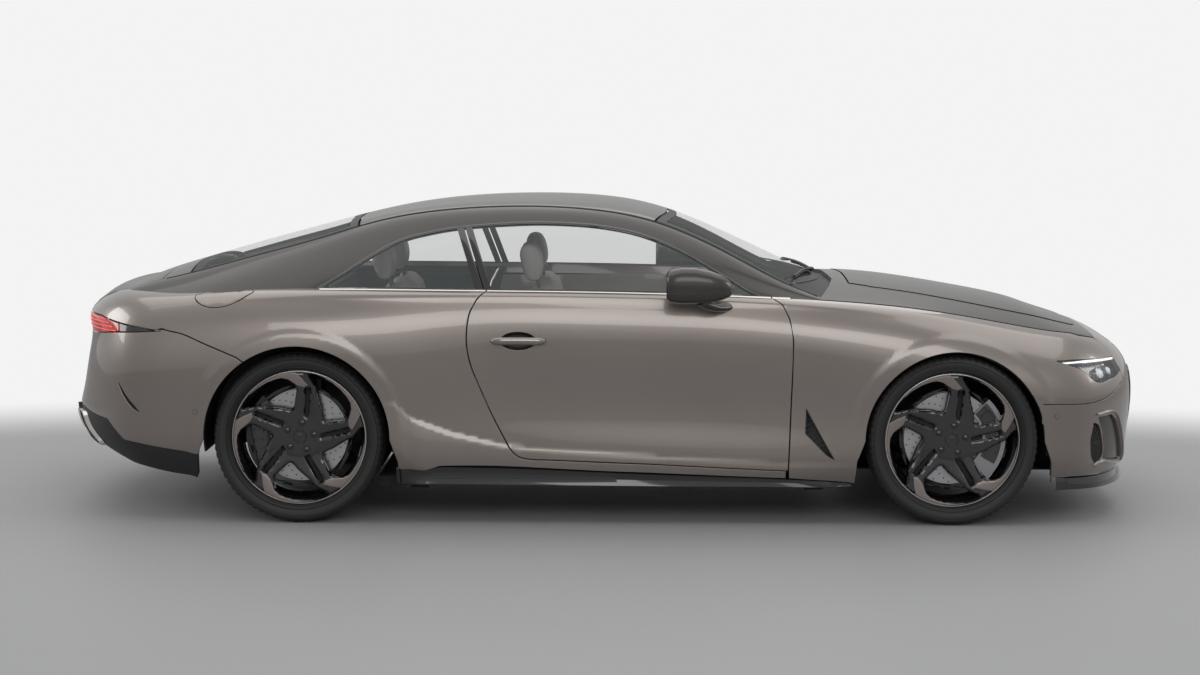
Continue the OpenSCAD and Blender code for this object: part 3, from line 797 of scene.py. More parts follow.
def arc(centre: Point2, radius: float, start: float, end: float, count: int = 40) -> list[Point2]:
    """Points of a circle from one angle to another, in degrees."""
    return [(centre[0] + radius * math.cos(math.radians(a)), centre[1] + radius * math.sin(math.radians(a)))
            for a in np.linspace(start, end, count)]


def cut(keep: Sequence[np.ndarray], leave: Sequence[np.ndarray] = ()) -> list[np.ndarray]:
    """What is inside all of some outlines and outside of others, as outlines.

    Args:
        keep: outlines that the result lies in.
        leave: outlines that it stays out of.

    Returns:
        The result's loops, the longest first.
    """
    points, edges = [], []
    for loop in (*keep, *leave):
        loop = resampled(np.asarray(loop, float), 0.05)
        start = len(points)
        points += [Vector(p) for p in loop]
        edges += [(start + k, start + (k + 1) % len(loop)) for k in range(len(loop))]
    found = delaunay_2d_cdt(points, edges, [], 0, 1e-6)
    where = np.array([tuple(v) for v in found[0]])
    faces = np.array([f for f in found[2] if len(f) == 3])
    centre = where[faces].mean(axis=1)
    inside = np.ones(len(faces), bool)
    for loop in keep:
        inside &= in_polygon(centre, np.asarray(loop, float))
    for loop in leave:
        inside &= ~in_polygon(centre, np.asarray(loop, float))
    after: dict[int, list[int]] = {}
    used = {(f[k], f[(k + 1) % 3]) for f in faces[inside].tolist() for k in range(3)}
    for a, b in sorted(used):
        if (b, a) not in used:
            after.setdefault(a, []).append(b)
    loops = []
    while after:
        first = min(after)
        loop, here = [], first
        while here in after:
            loop.append(here)
            nexts = after[here]
            onward = nexts.pop()
            if not nexts:
                del after[here]
            here = onward
            if here == first:
                break
        loops.append(tidied(where[loop]))
    loops = [x for x in loops if len(x) > 3]
    return sorted(loops, key=lambda x: -np.linalg.norm(x - np.roll(x, 1, axis=0), axis=1).sum())


def tidied(loop: np.ndarray, close: float = 0.0015) -> np.ndarray:
    """An outline without points that lie close together or on a straight edge."""
    kept = [loop[0]]
    for p in loop[1:]:
        if np.linalg.norm(p - kept[-1]) > close:
            kept.append(p)
    if np.linalg.norm(kept[0] - kept[-1]) < close:
        kept.pop()
    loop = np.array(kept)
    before, after = loop - np.roll(loop, 1, axis=0), np.roll(loop, -1, axis=0) - loop
    cross = before[:, 0] * after[:, 1] - before[:, 1] * after[:, 0]
    length = np.linalg.norm(before, axis=1) * np.linalg.norm(after, axis=1)
    return loop[np.abs(cross) > 1e-4 * length]


def lathe(profile: Sequence[Point2], count: int = 96, closed: bool = False, start: float = 0.0,
          turn: float = 360.0) -> Shape:
    """Turns a profile round a wheel's axis.

    Args:
        profile: radius and outward offset of its points.
        count: steps of a full turn.
        closed: whether the profile's last point joins its first.
        start: first angle, in degrees.
        turn: how far it turns, in degrees.

    Returns:
        The turned shape, on the right side, with its axis through the origin.
    """
    whole = abs(turn - 360.0) < 1e-6
    steps = count if whole else max(2, round(count * turn / 360))
    shape, n = Shape(), len(profile)
    points = []
    for k in range(steps + (0 if whole else 1)):
        a = math.radians(start + turn * k / steps)
        points += [(r * math.cos(a), -w, r * math.sin(a)) for r, w in profile]
    faces = []
    for k in range(steps):
        m = (k + 1) % steps if whole else k + 1
        for j in range(n if closed else n - 1):
            i = (j + 1) % n
            faces.append((k * n + j, k * n + i, m * n + i, m * n + j))
    return shape.add(points, faces)


def quads(rows: int, count: int, closed: bool = False, down: bool = False) -> list[tuple[int, ...]]:
    """Faces between the rows of a grid of points.

    Args:
        rows: how many rows it has.
        count: points of a row.
        closed: whether a row's last point joins its first.
        down: whether a face runs to the next row first, which turns it over.

    Returns:
        The faces, as numbers of points, row by row.
    """
    faces = []
    for r in range(rows - 1):
        for k in range(count if closed else count - 1):
            m = (k + 1) % count
            face = (r * count + k, r * count + m, (r + 1) * count + m, (r + 1) * count + k)
            faces.append((face[0], face[3], face[2], face[1]) if down else face)
    return faces


def slab(outline: np.ndarray, holes: Sequence[np.ndarray], top: Callable[[np.ndarray], np.ndarray],
         base: float,
         step: float, bevel: float = 0.0, crown: float = 0.0) -> Shape:
    """A plate with a shaped top, on the right side of the car, its flat plan in x and z.

    Args:
        outline: the plate's outline.
        holes: its openings.
        top: outward offset of its top over points of the plan.
        base: outward offset of its underside.
        step: size of its triangles.
        bevel: how far in from an edge the top reaches its full height.
        crown: how much lower the top is at its edges.

    Returns:
        The plate, without an underside.
    """
    loops = []
    for k, loop in enumerate((outline, *holes)):
        loop = resampled(np.asarray(loop, float), step)
        area = np.sum(loop[:, 0] * np.roll(loop[:, 1], -1) - loop[:, 1] * np.roll(loop[:, 0], -1))
        loops.append(loop[::-1] if (area > 0) == (k > 0) else loop)
    where, faces = fill(loops[0], loops[1:], step)
    height = top(where)
    if crown > 0:
        near = np.min([edge_distance(where, loop) for loop in loops], axis=0)
        height = height - crown * (1 - np.sqrt(np.clip(near / bevel, 0, 1)
                                               * (2 - np.clip(near / bevel, 0, 1))))
    shape = Shape().add([(p[0], -h, p[1]) for p, h in zip(where, height)], faces)
    start = 0
    for loop in loops:
        n = len(loop)
        first = len(shape.points)
        shape.points += [(p[0], -base, p[1]) for p in loop]
        shape.faces += [(first + k, first + (k + 1) % n, start + (k + 1) % n, start + k) for k in range(n)]
        shape.slots += [0] * n
        start += n
    return shape


def tube(path: np.ndarray, radius: object, sides: int = 10, flat: float = 1.0,
         up: Sequence[float] = (0, 0, 1)) -> Shape:
    """A rod along a path, with closed ends.

    Args:
        path: (n, 3) points.
        radius: one radius, or n.
        sides: corners of its section.
        flat: height of the section as a share of its width.
        up: which way its height points.

    Returns:
        The rod.
    """
    path = np.asarray(path, float)
    n = len(path)
    radii = np.full(n, radius) if np.isscalar(radius) else np.asarray(radius, float)
    along = np.gradient(path, axis=0)
    along /= np.linalg.norm(along, axis=1, keepdims=True)
    across = np.cross(along, np.array(up, float))
    across /= np.maximum(np.linalg.norm(across, axis=1, keepdims=True), 1e-9)
    high = np.cross(across, along)
    a = np.arange(sides) * 2 * math.pi / sides
    points = [tuple(path[k] + radii[k] * (math.cos(t) * across[k] + flat * math.sin(t) * high[k]))
              for k in range(n) for t in a]
    faces = quads(n, sides, closed=True)
    faces += [tuple(range(sides))[::-1], tuple((n - 1) * sides + j for j in range(sides))]
    shape = Shape().add(points, faces)
    shape.faces = [f[::-1] for f in shape.faces]
    return shape


def bead(skin: Skin, path: np.ndarray, width: float, height: float, rise: float = 0.0) -> Shape:
    """A half round moulding that follows a line on a surface.

    Args:
        skin: the surface.
        path: (n, 2) places in its chart.
        width: the moulding's width.
        height: how far it stands out.
        rise: where its foot is over the surface.

    Returns:
        The moulding.
    """
    along = np.gradient(path, axis=0)
    along /= np.maximum(np.linalg.norm(along, axis=1, keepdims=True), 1e-9)
    across = np.stack([-along[:, 1], along[:, 0]], axis=1)
    points, m = [], 7
    for k in range(m):
        t = -1 + 2 * k / (m - 1)
        spots = skin.unchart(path + across * (t * width / 2))
        n = skin._normals(spots, skin.point)
        points.append(skin.point(spots) + n * (rise + height * math.sqrt(max(0.0, 1 - t * t))))
    grid = np.stack(points, axis=1)
    flat = [tuple(p) for row in grid for p in row]
    faces = quads(len(path), m)
    faces += [tuple(range(m)), tuple((len(path) - 1) * m + j for j in range(m))[::-1]]
    return Shape().add(flat, [f[::-1] for f in faces])


def box_shape(low: Sequence[float], high: Sequence[float], round_by: float = 0.0) -> Shape:
    """A block with rounded edges.

    Args:
        low: its lowest corner.
        high: its highest corner.
        round_by: radius of its edges.

    Returns:
        The block.
    """
    mesh = bmesh.new()
    bmesh.ops.create_cube(mesh, size=1.0)
    size = np.array(high, float) - np.array(low, float)
    middle = (np.array(high, float) + np.array(low, float)) / 2
    for v in mesh.verts:
        v.co = Vector(middle + np.array(v.co) * size)
    if round_by > 0:
        bmesh.ops.bevel(mesh, geom=list(mesh.edges), offset=round_by, segments=3, profile=0.5, affect="EDGES")
    mesh.verts.index_update()
    shape = Shape().add([tuple(v.co) for v in mesh.verts],
                        [tuple(v.index for v in f.verts) for f in mesh.faces])
    mesh.free()
    return shape


def placed(shape: Shape, matrix: Matrix) -> Shape:
    """A shape moved by a matrix."""
    moved = [tuple(matrix @ Vector(p)) for p in shape.points]
    return Shape(moved, shape.faces, None, shape.slots)


def gathered(shapes: Sequence[Shape]) -> Shape:
    """Several shapes as one, each with its own material number.

    Args:
        shapes: the shapes; a pair's second item is its material number.

    Returns:
        One shape.
    """
    out = Shape()
    for item in shapes:
        shape, slot = item if isinstance(item, tuple) else (item, 0)
        out.add(shape.points, shape.faces, slot)
    return out


PANEL_SMOOTH = 30.0  # angle up to which an outer panel's edges are smooth


def both(name: str, shape: Shape, finishes: Sequence[Finish], body: str, slot: str, *nodes: str,
         smooth: float = 35.0) -> None:
    """Makes a piece of the left side and its mirrored twin.

    Args:
        name: the piece's name.
        shape: the left one.
        finishes: its finishes.
        body: its body; one that each side has its own of gets the side added.
        slot: the record's slot; not used.
        nodes: CAD nodes it stands for, without their side.
        smooth: angle up to which its edges are smooth.
    """
    for side, each in (("left", shape), ("right", shape.mirrored())):
        rides = f"{body}_{side}" if body in ("door", "knuckle") else body
        made = piece(f"{name}_{side}", each, finishes, rides, smooth)
        for node in nodes:
            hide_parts(f"{node}_{side}")


def polar(points: Sequence[Point2], turn: float = 0.0) -> np.ndarray:
    """Radius and angle in degrees as flat points, turned by an angle."""
    return np.array([(r * math.cos(math.radians(a + turn)), r * math.sin(math.radians(a + turn)))
                     for r, a in points])


# ---------------------------------------------------------------- the shell


@dataclass
class Hull:
    """The two smooth surfaces that every panel is cut from, and the panels' shut lines.

    Attributes:
        half_length: half of the car's length.
        corner_steps: sections that turn a corner at the tail and the nose.
        tail_power: squareness of the tail's corners in plan.
        nose_power: squareness of the nose's corners in plan.
        front_axle: the front arch's centre, x and z.
        rear_axle: the rear arch's centre, x and z.
        front_arch: radius of the front arch.
        rear_arch: radius of the rear arch.
    """

    half_length: float = 2.430
    corner_steps: int = 6
    tail_power: float = 2 / 2.6
    nose_power: float = 2 / 2.4
    front_axle: Point2 = (1.519, 0.372)
    rear_axle: Point2 = (-1.345, 0.372)
    front_arch: float = 0.388
    rear_arch: float = 0.403

    # Sections of the lower body, tail to nose: x, then y and z of the sill, crease, lower side, waist,
    # side, shoulder, top and deck lines, and z of the middle
    BODY = [
        [-1850, 860, 165, 930, 310, 948, 440, 955, 560, 955, 700, 925, 850, 865, 950, 780, 995, 1000],
        [-1550, 870, 165, 945, 310, 962, 450, 972, 580, 975, 730, 948, 880, 895, 965, 825, 1015, 1020],
        [-1250, 875, 165, 950, 310, 967, 460, 979, 600, 983, 760, 958, 895, 905, 975, 850, 1020, 1030],
        [-900, 880, 165, 945, 310, 957, 460, 968, 600, 970, 750, 950, 890, 910, 975, 863, 1020, 1034],
        [-500, 890, 165, 950, 320, 945, 460, 950, 600, 958, 750, 948, 900, 912, 980, 870, 1016, 1034],
        [-100, 895, 165, 952, 300, 938, 440, 942, 580, 956, 740, 949, 890, 912, 978, 873, 1013, 1034],
        [350, 895, 165, 948, 290, 932, 430, 934, 570, 952, 730, 946, 880, 908, 968, 870, 1004, 1034],
        [750, 890, 165, 945, 280, 930, 420, 934, 560, 952, 720, 944, 865, 900, 950, 858, 988, 1030],
        [1150, 885, 165, 945, 280, 945, 420, 955, 560, 963, 700, 945, 840, 890, 925, 835, 961, 1040],
        [1500, 880, 165, 945, 280, 957, 420, 966, 560, 965, 690, 932, 810, 865, 885, 795, 917, 998],
        [1850, 860, 165, 925, 270, 940, 410, 945, 540, 935, 650, 890, 750, 815, 820, 735, 852, 938]]
    # How far the same lines stand from the car's ends on the middle plane, and their heights
    TAIL = [[230, 215], [60, 310], [0, 440], [20, 530], [45, 690], [65, 800], [45, 885], [170, 985],
            [210, 992], [250, 995]]
    NOSE = [[70, 150], [20, 250], [10, 360], [0, 470], [2, 570], [20, 665], [70, 735], [160, 795],
            [190, 810], [220, 825]]
    # Sections of the cabin: x, then y and z of the base, glass, rail and ditch lines, and z of the middle
    CABIN = [
        [-2450, 500, 780, 480, 785, 460, 790, 440, 795, 800],
        [-2200, 660, 930, 640, 950, 600, 965, 550, 975, 990],
        [-1900, 800, 980, 745, 1010, 680, 1035, 600, 1053, 1092],
        [-1600, 840, 990, 780, 1050, 700, 1100, 600, 1140, 1183],
        [-1300, 855, 990, 785, 1085, 700, 1165, 600, 1220, 1264],
        [-1000, 865, 985, 795, 1120, 700, 1235, 595, 1315, 1340],
        [-700, 872, 980, 790, 1150, 695, 1285, 595, 1359, 1385],
        [-400, 878, 980, 795, 1160, 700, 1305, 600, 1374, 1403],
        [-100, 880, 980, 800, 1150, 712, 1295, 615, 1364, 1400],
        [200, 878, 975, 815, 1110, 740, 1235, 645, 1318, 1362],
        [500, 868, 970, 825, 1050, 775, 1120, 700, 1197, 1253],
        [800, 850, 955, 830, 985, 800, 1010, 765, 1035, 1115],
        [1050, 800, 930, 785, 937, 765, 944, 740, 950, 1005],
        [1250, 700, 860, 680, 865, 650, 870, 600, 875, 900]]
    # The door's edge in side view, from its top rear corner round to its top front corner
    DOOR = [(-0.565, 0.978), (-0.597, 0.910), (-0.606, 0.800), (-0.588, 0.700), (-0.548, 0.600),
            (-0.500, 0.490), (-0.448, 0.389), (-0.408, 0.323), (-0.352, 0.292), (-0.199, 0.284),
            (0.194, 0.269), (0.796, 0.241), (0.802, 0.417), (0.808, 0.636), (0.810, 0.811),
            (0.795, 0.898), (0.764, 0.963)]
    # The side windows' upper edge, rear to front
    WINDOW = [(-1.250, 1.024), (-1.156, 1.081), (-1.045, 1.153), (-0.912, 1.224), (-0.758, 1.264),
              (-0.603, 1.287), (-0.383, 1.302), (-0.206, 1.302), (-0.030, 1.290), (0.147, 1.256),
              (0.324, 1.186), (0.501, 1.089), (0.612, 1.022), (0.690, 0.990)]
    SILL = [(-1.000, 0.250), (-0.787, 0.245), (-0.721, 0.263), (-0.373, 0.256), (0.193, 0.232),
            (0.803, 0.209), (1.100, 0.184)]
    # Height of the lower body's crease along the car
    CREASE = [(-0.916, 0.543), (-0.851, 0.477), (-0.677, 0.412), (-0.460, 0.361), (-0.242, 0.336),
              (0.062, 0.320), (0.410, 0.299), (0.802, 0.279)]
    REAR_SPLIT = [(-1.560, 0.700), (-1.603, 0.729), (-1.712, 0.772), (-1.820, 0.818), (-1.930, 0.845)]

    def __post_init__(self) -> None:
        """Builds both surfaces."""
        body = self._body_sections()
        self.body = Skin(body, True, self._relief)
        self.cabin = Skin(np.array([self._cabin_ring(r) for r in self.CABIN]) * MM, False)
        self.belt = self.body.chart(np.array([[0, 7.0]]))[0, 1]
        self.middle = self.body.v_knots[-1]
        self.tail_to_nose = self.body.u_knots[-1]
        self.ditch = self.cabin.chart(np.array([[0, 3.0]]))[0, 1]

    @staticmethod
    def _ring(row: Sequence[float]) -> list[list[float]]:
        """Points of one section of the lower body."""
        x, deck, top = row[0], row[15:17], row[17]
        low = [[x, row[1 + 2 * k], row[2 + 2 * k]] for k in range(8)]
        return low + [[x, deck[0] * 0.55, deck[1] + (top - deck[1]) * 0.75], [x, 0, top]]

    @staticmethod
    def _cabin_ring(row: Sequence[float]) -> list[list[float]]:
        """Points of one section of the cabin."""
        x, ditch, top = row[0], row[7:9], row[9]
        low = [[x, row[1 + 2 * k], row[2 + 2 * k]] for k in range(4)]
        return low + [[x, ditch[0] * 0.66, ditch[1] + (top - ditch[1]) * 0.62],
                      [x, ditch[0] * 0.33, ditch[1] + (top - ditch[1]) * 0.9], [x, 0, top]]

    def _corner(self, side: list, last: list, sign: float, power: float) -> list:
        """Sections that turn from the side to the middle plane at one end."""
        rows = []
        for k in range(1, self.corner_steps + 1):
            a = math.pi / 2 * k / self.corner_steps
            forward, inward = math.sin(a) ** power, max(math.cos(a), 0) ** power
            ends = [(sign * (self.half_length / MM - e[0]), e[1]) for e in last]
            rows.append([[s[0] + (e[0] - s[0]) * forward, 0 if k == self.corner_steps else s[1] * inward,
                          s[2] + (e[1] - s[2]) * forward] for s, e in zip(side, ends)])
        return rows

    def _body_sections(self) -> np.ndarray:
        """All sections of the lower body, in metres."""
        sides = [self._ring(r) for r in self.BODY]
        tail = self._corner(sides[0], self.TAIL, -1, self.tail_power)
        nose = self._corner(sides[-1], self.NOSE, 1, self.nose_power)
        return np.array(tail[::-1] + sides + nose) * MM

    def _relief(self, p: np.ndarray) -> np.ndarray:
        """Height of the arch flares and of the sill's flare under the crease."""
        out = np.zeros(len(p))
        for (x, z), radius in ((self.front_axle, self.front_arch), (self.rear_axle, self.rear_arch)):
            r = np.hypot(p[:, 0] - x, np.maximum(p[:, 2] - z, 0))
            t = np.clip((radius + 0.086 - r) / 0.040, 0, 1)
            out += 0.005 * t * t * (3 - 2 * t)
        line = np.array(self.CREASE)
        low = np.interp(p[:, 0], line[:, 0], line[:, 1]) - p[:, 2]
        ahead = np.clip((1.25 - p[:, 0]) / 0.45, 0, 1)
        behind = np.clip((p[:, 0] + 1.05) / 0.25, 0, 1)
        t = np.clip(low / 0.03, 0, 1)
        return out + (np.clip(low, 0, 0.2) * 0.16 + 0.004 * t * t * (3 - 2 * t)) * ahead * behind

    def along(self, skin: Skin, v: float, start: float, end: float, count: int = 24) -> np.ndarray:
        """Places in the chart along one line of a surface.

        Args:
            skin: the surface.
            v: number of the line, from the sill or the base.
            start: x of the first place.
            end: x of the last one.
            count: how many places.

        Returns:
            (count, 2) places.
        """
        us = np.linspace(0, skin.rows - 1, 300)
        xs = np.maximum.accumulate(skin.smooth(np.stack([us, np.full(300, v)], axis=1))[:, 0])
        u = np.interp(np.linspace(start, end, count), xs, us)
        return skin.chart(np.stack([u, np.full(count, v)], axis=1))

    def side(self, points: Sequence[Point2]) -> np.ndarray:
        """A side view line on the lower body."""
        return self.body.find(points, Side.SIDE)

    def arch_outline(self, centre: Point2, radius: float, grow: float = 0.0) -> np.ndarray:
        """The mouth of a wheel arch in the body's chart, reaching below the sill.

        Args:
            centre: x and z of its centre.
            radius: its radius.
            grow: how much larger it is drawn.

        Returns:
            Its outline.
        """
        r = radius + grow
        down = [(r + 0.034, -0.09), (r + 0.041, -0.19)]
        points = [(centre[0] - dx, centre[1] + dz) for dx, dz in reversed(down)]
        points += arc(centre, r, 180, 0, 48)
        points += [(centre[0] + dx, centre[1] + dz) for dx, dz in down]
        found = self.side(points)
        ends = np.array([[found[-1, 0], -0.1], [found[0, 0], -0.1]])
        return np.concatenate([found, ends])

    def box(self, u0: float, u1: float, v0: float, v1: float) -> np.ndarray:
        """A rectangle in a chart."""
        return np.array([(u0, v0), (u1, v0), (u1, v1), (u0, v1)])


@dataclass
class Coachwork:
    """The painted panels.

    Attributes:
        hull: the surfaces they are cut from.
        arch_lip: how deep the arches' edges are turned in; not used.
    """

    hull: Hull
    arch_lip: float = 0.05

    def __post_init__(self) -> None:
        """Works out the outlines that panels share."""
        h = self.hull
        b = h.body
        self.door = np.concatenate([h.side(curve(h.DOOR[:11], 4) + curve(h.DOOR[11:], 4)),
                                    h.along(b, 7.0, 0.716, -0.521)])
        self.handle_bowl = h.side([(-0.382 + 0.076 * math.cos(a), 0.803 + 0.037 * math.sin(a))
                                   for a in np.arange(40) * math.pi / 20])
        self.front_mouth = h.arch_outline(h.front_axle, h.front_arch)
        self.rear_mouth = h.arch_outline(h.rear_axle, h.rear_arch)
        self.below_sill = np.concatenate([h.side(h.SILL), [(h.side([(1.1, 0.184)])[0, 0], -0.1)],
                                          [(h.side([(-1.0, 0.25)])[0, 0], -0.1)]])
        self.split = h.side(curve([(1.90, 0.537), (2.061, 0.534), (2.148, 0.539), (2.225, 0.560),
                                   (2.29, 0.60)], 4))
        self.headlamp = h.side(curve([(1.962, 0.721), (2.10, 0.722), (2.300, 0.714)], 4)
                               + curve([(2.305, 0.66), (2.275, 0.640), (2.238, 0.632), (2.186, 0.621),
                                        (2.141, 0.630), (2.073, 0.683), (1.985, 0.714)], 3))
        self.bonnet_nose = b.find(curve([(2.10, 0.663), (2.150, 0.620), (2.190, 0.575)], 3), Side.TOP)
        self.nose_edge = b.find([(2.190, y) for y in np.linspace(0.575, 0, 9)], Side.TOP)
        self.cover_side = np.concatenate([b.find([(2.215, 0.60), (2.262, 0.64)], Side.TOP),
                                          b.find([(0.64, 0.66), (0.64, 0.61)], Side.FRONT)])
        self.vent = h.side([(0.873, 0.504), (0.994, 0.289), (0.962, 0.310), (0.870, 0.403)])
        self.fuel_flap = h.body.find([(-1.668 + 0.128 * math.cos(a), 0.852 + 0.052 * math.sin(a))
                                      for a in np.linspace(0, 2 * math.pi, 40, endpoint=False)], Side.TOP)
        self.grille = self._grille(0.0)
        self.intake = b.find([(0.0, 0.300), (0.56, 0.300), (0.50, 0.225), (0.0, 0.225)], Side.FRONT)
        self.corner_mesh = h.side(curve([(2.140, 0.445), (2.168, 0.425), (2.192, 0.33), (2.186, 0.280),
                                         (2.158, 0.262), (2.133, 0.30), (2.126, 0.37)], 3))
        band_low = np.concatenate([h.side([(-1.930, 0.836), (-2.160, 0.822), (-2.26, 0.806)]),
                                   b.find([(0.60, 0.802), (0.30, 0.802), (0.0, 0.802)], Side.REAR)])
        band_top = np.concatenate([b.find([(0.0, 0.884), (0.30, 0.884), (0.62, 0.884)], Side.REAR),
                                   h.side([(-2.24, 0.884), (-2.100, 0.857), (-1.99, 0.841)])])
        self.lamp_band = np.concatenate([band_low, band_top])
        under = b.find([(0.0, 0.812), (0.30, 0.812), (0.58, 0.812)], Side.REAR)
        split = h.side(h.REAR_SPLIT + [(-1.96, 0.838), (-2.160, 0.824)])
        self.rear_cover = np.concatenate([[(0, 0), (split[0, 0], 0)], split, under[::-1], [(0, under[0, 1])]])
        self.boot_tail = np.concatenate([
            [(0, h.middle)], b.find([(-1.995, 0.0), (-1.995, 0.575), (-2.20, 0.545)], Side.TOP),
            b.find([(0.50, 0.955), (0.47, 0.915), (0.42, 0.892), (0.25, 0.889), (0.0, 0.889)], Side.REAR)])
        low_start = h.side([(-1.60, 0.27)])[0, 0]
        self.diffuser = np.concatenate([
            h.side([(-1.60, 0.27), (-1.80, 0.300), (-1.95, 0.325), (-2.110, 0.352), (-2.146, 0.388),
                    (-2.19, 0.44)]),
            b.find([(0.66, 0.468), (0.50, 0.472), (0.0, 0.475)], Side.REAR),
                                        [(-0.05, -0.05), (low_start, -0.05)]])
        self.under_tail = np.concatenate([
            h.side([(-1.60, 0.167), (-1.80, 0.187), (-1.93, 0.208), (-2.08, 0.235), (-2.17, 0.272)]),
            b.find([(0.68, 0.315), (0.50, 0.300), (0.0, 0.290)], Side.REAR),
                                          [(-0.1, -0.1), (low_start, -0.1)]])
        self.slit = h.side([(-2.131, 0.609), (-2.107, 0.557), (-2.062, 0.499), (-2.032, 0.481),
                            (-2.087, 0.542)])
        self.recess = h.side([(2.162, 0.468), (2.235, 0.472), (2.262, 0.446), (2.300, 0.362), (2.334, 0.240),
                              (2.245, 0.262), (2.197, 0.284), (2.199, 0.330), (2.186, 0.405), (2.172, 0.440)])

    def _grille(self, grow: float) -> np.ndarray:
        """The grille's opening, larger by grow, reaching over the middle plane."""
        width, low, top, r = 0.40 + grow, 0.35 - grow, 0.64 + grow, 0.06
        points = [(0.0, low), (width - 0.05 - r, low), (width - 0.05 - r * 0.3, low + r * 0.3),
                  (width - 0.04, low + r), (width, top - r), (width - r * 0.3, top - r * 0.3),
                  (width - r, top),
                  (0.0, top)]
        return self.hull.body.find(points, Side.FRONT)

    def build(self) -> None:
        """Builds every painted panel."""
        self._door()
        self._wing()
        self._quarter()
        self._bumpers()
        self._bonnet()
        self._cabin_side()
        self._roof()
        self._boot()

    def _door(self) -> None:
        """The door's outer skin."""
        loops = cut([self.door], [self.handle_bowl])
        door = self.hull.body.panel(loops[0], loops[1:], depth=0.05, step=0.02)
        both("door_skin", door, [Paintbox.BODY], "door", "body_paint", "door", smooth=PANEL_SMOOTH)

    def _wing(self) -> None:
        """The front wing, from the door to the nose."""
        h, b = self.hull, self.hull.body
        whole = np.concatenate([[(h.side([(0.803, 0.22)])[0, 0], -0.05)],
                                h.side([(0.796, 0.241), (0.802, 0.417), (0.808, 0.636), (0.810, 0.811),
                                        (0.795, 0.898), (0.764, 0.963)]),
                                h.along(b, 7.0, 0.716, 2.06), self.bonnet_nose[:-1], self.cover_side,
                                self.split[::-1], [(self.split[0, 0], -0.05)]])
        wing = cut([whole, h.box(0, h.tail_to_nose, 0, h.middle)],
                   [self.front_mouth, self.below_sill, self.headlamp, self.vent])
        skin = b.panel(wing[0], wing[1:], depth=0.02, step=0.016)
        both("front_wing_skin", skin, [Paintbox.BODY], "root", "body_paint", "front_wing",
             smooth=PANEL_SMOOTH)

    def _quarter(self) -> None:
        """The body side behind the door, and the strip of it under the belt."""
        h, b = self.hull, self.hull.body
        tail_top = b.find([(-1.99, 0.30), (-1.99, 0.0)], Side.TOP)
        under_door = h.side([(0.788, 0.20), (0.788, 0.30), (-0.20, 0.36)])
        whole = np.concatenate([[(0, 0), (under_door[0, 0], 0)], under_door[1:],
                                h.along(b, 7.06, -0.3, -1.55),
                                b.find([(-1.80, 0.60)], Side.TOP), tail_top, [(0, h.middle)]])
        quarter = cut([whole], [self.door, self.rear_mouth, self.below_sill, self.rear_cover, self.lamp_band,
                                self.boot_tail, self.fuel_flap])
        skin = b.panel(quarter[0], quarter[1:], depth=0.02, step=0.016)
        both("quarter_skin", skin, [Paintbox.BODY], "root", "body_paint", "body_side", smooth=PANEL_SMOOTH)
        flap = b.panel(self.fuel_flap, depth=0.01, gap=0.001, lip=0.001)
        piece("fuel_flap", flap.mirrored(), [Paintbox.BODY], "root")
        plain = b.panel(self.fuel_flap, depth=0, gap=0)
        piece("filler_side_blank", plain, [Paintbox.BODY], "root")

    def _bumpers(self) -> None:
        """The front and rear bumper skins, each one piece across the car."""
        h, b = self.hull, self.hull.body
        bottom = h.side([(1.80, 0.205), (2.30, 0.205)])[:, 1].mean()
        front = np.concatenate([[(self.split[0, 0] - 0.3, bottom)], [(h.tail_to_nose, bottom)],
                                [(h.tail_to_nose, h.middle)], self.nose_edge[::-1], self.cover_side,
                                self.split[::-1], [(self.split[0, 0] - 0.3, self.split[0, 1])]])
        loops = cut([front], [self.front_mouth, self.grille, self.intake, self.corner_mesh, self.recess])
        half = b.panel(loops[0], loops[1:], depth=0.02)
        skin = piece("front_bumper_skin", half.joined(half.mirrored()), [Paintbox.BODY], "root")
        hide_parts("front_bumper")
        rear = cut([self.rear_cover], [self.rear_mouth, self.lamp_band, self.diffuser, self.slit])
        half = b.panel(rear[0], rear[1:], depth=0.02)
        skin = piece("rear_bumper_skin", half.joined(half.mirrored()), [Paintbox.BODY], "root")
        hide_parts("rear_bumper")

    def _bonnet(self) -> None:
        """The bonnet's middle and its two side strips, with the shut line between them."""
        h, b = self.hull, self.hull.body
        rear = b.find([(1.045, 0.0), (1.035, 0.30), (1.005, 0.50), (0.960, 0.70), (0.930, 0.82)], Side.TOP)
        edge = h.along(b, 7.0, 0.93, 2.06)
        whole = np.concatenate([rear, edge, self.bonnet_nose, self.nose_edge,
                                [(self.nose_edge[-1, 0], h.middle)]])
        inner = b.find([(1.10, 0.0), (1.10, 0.44), (1.20, 0.50)]
                       + curve([(1.30, 0.515), (1.55, 0.525), (1.80, 0.52), (2.00, 0.485), (2.11, 0.44)], 5)
                       + [(2.135, 0.40), (2.14, 0.30), (2.145, 0.0)], Side.TOP)
        middle = b.panel(cut([whole, inner])[0], depth=0.012, rise=0.003)
        around = cut([whole], [inner])[0]
        half = b.panel(around, depth=0.02, gap=0.0018)
        piece("bonnet_middle", middle.joined(middle.mirrored()), [Paintbox.UPPER], "bonnet")
        skin = piece("bonnet_skin", half.joined(half.mirrored()), [Paintbox.UPPER], "bonnet")
        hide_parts("bonnet")

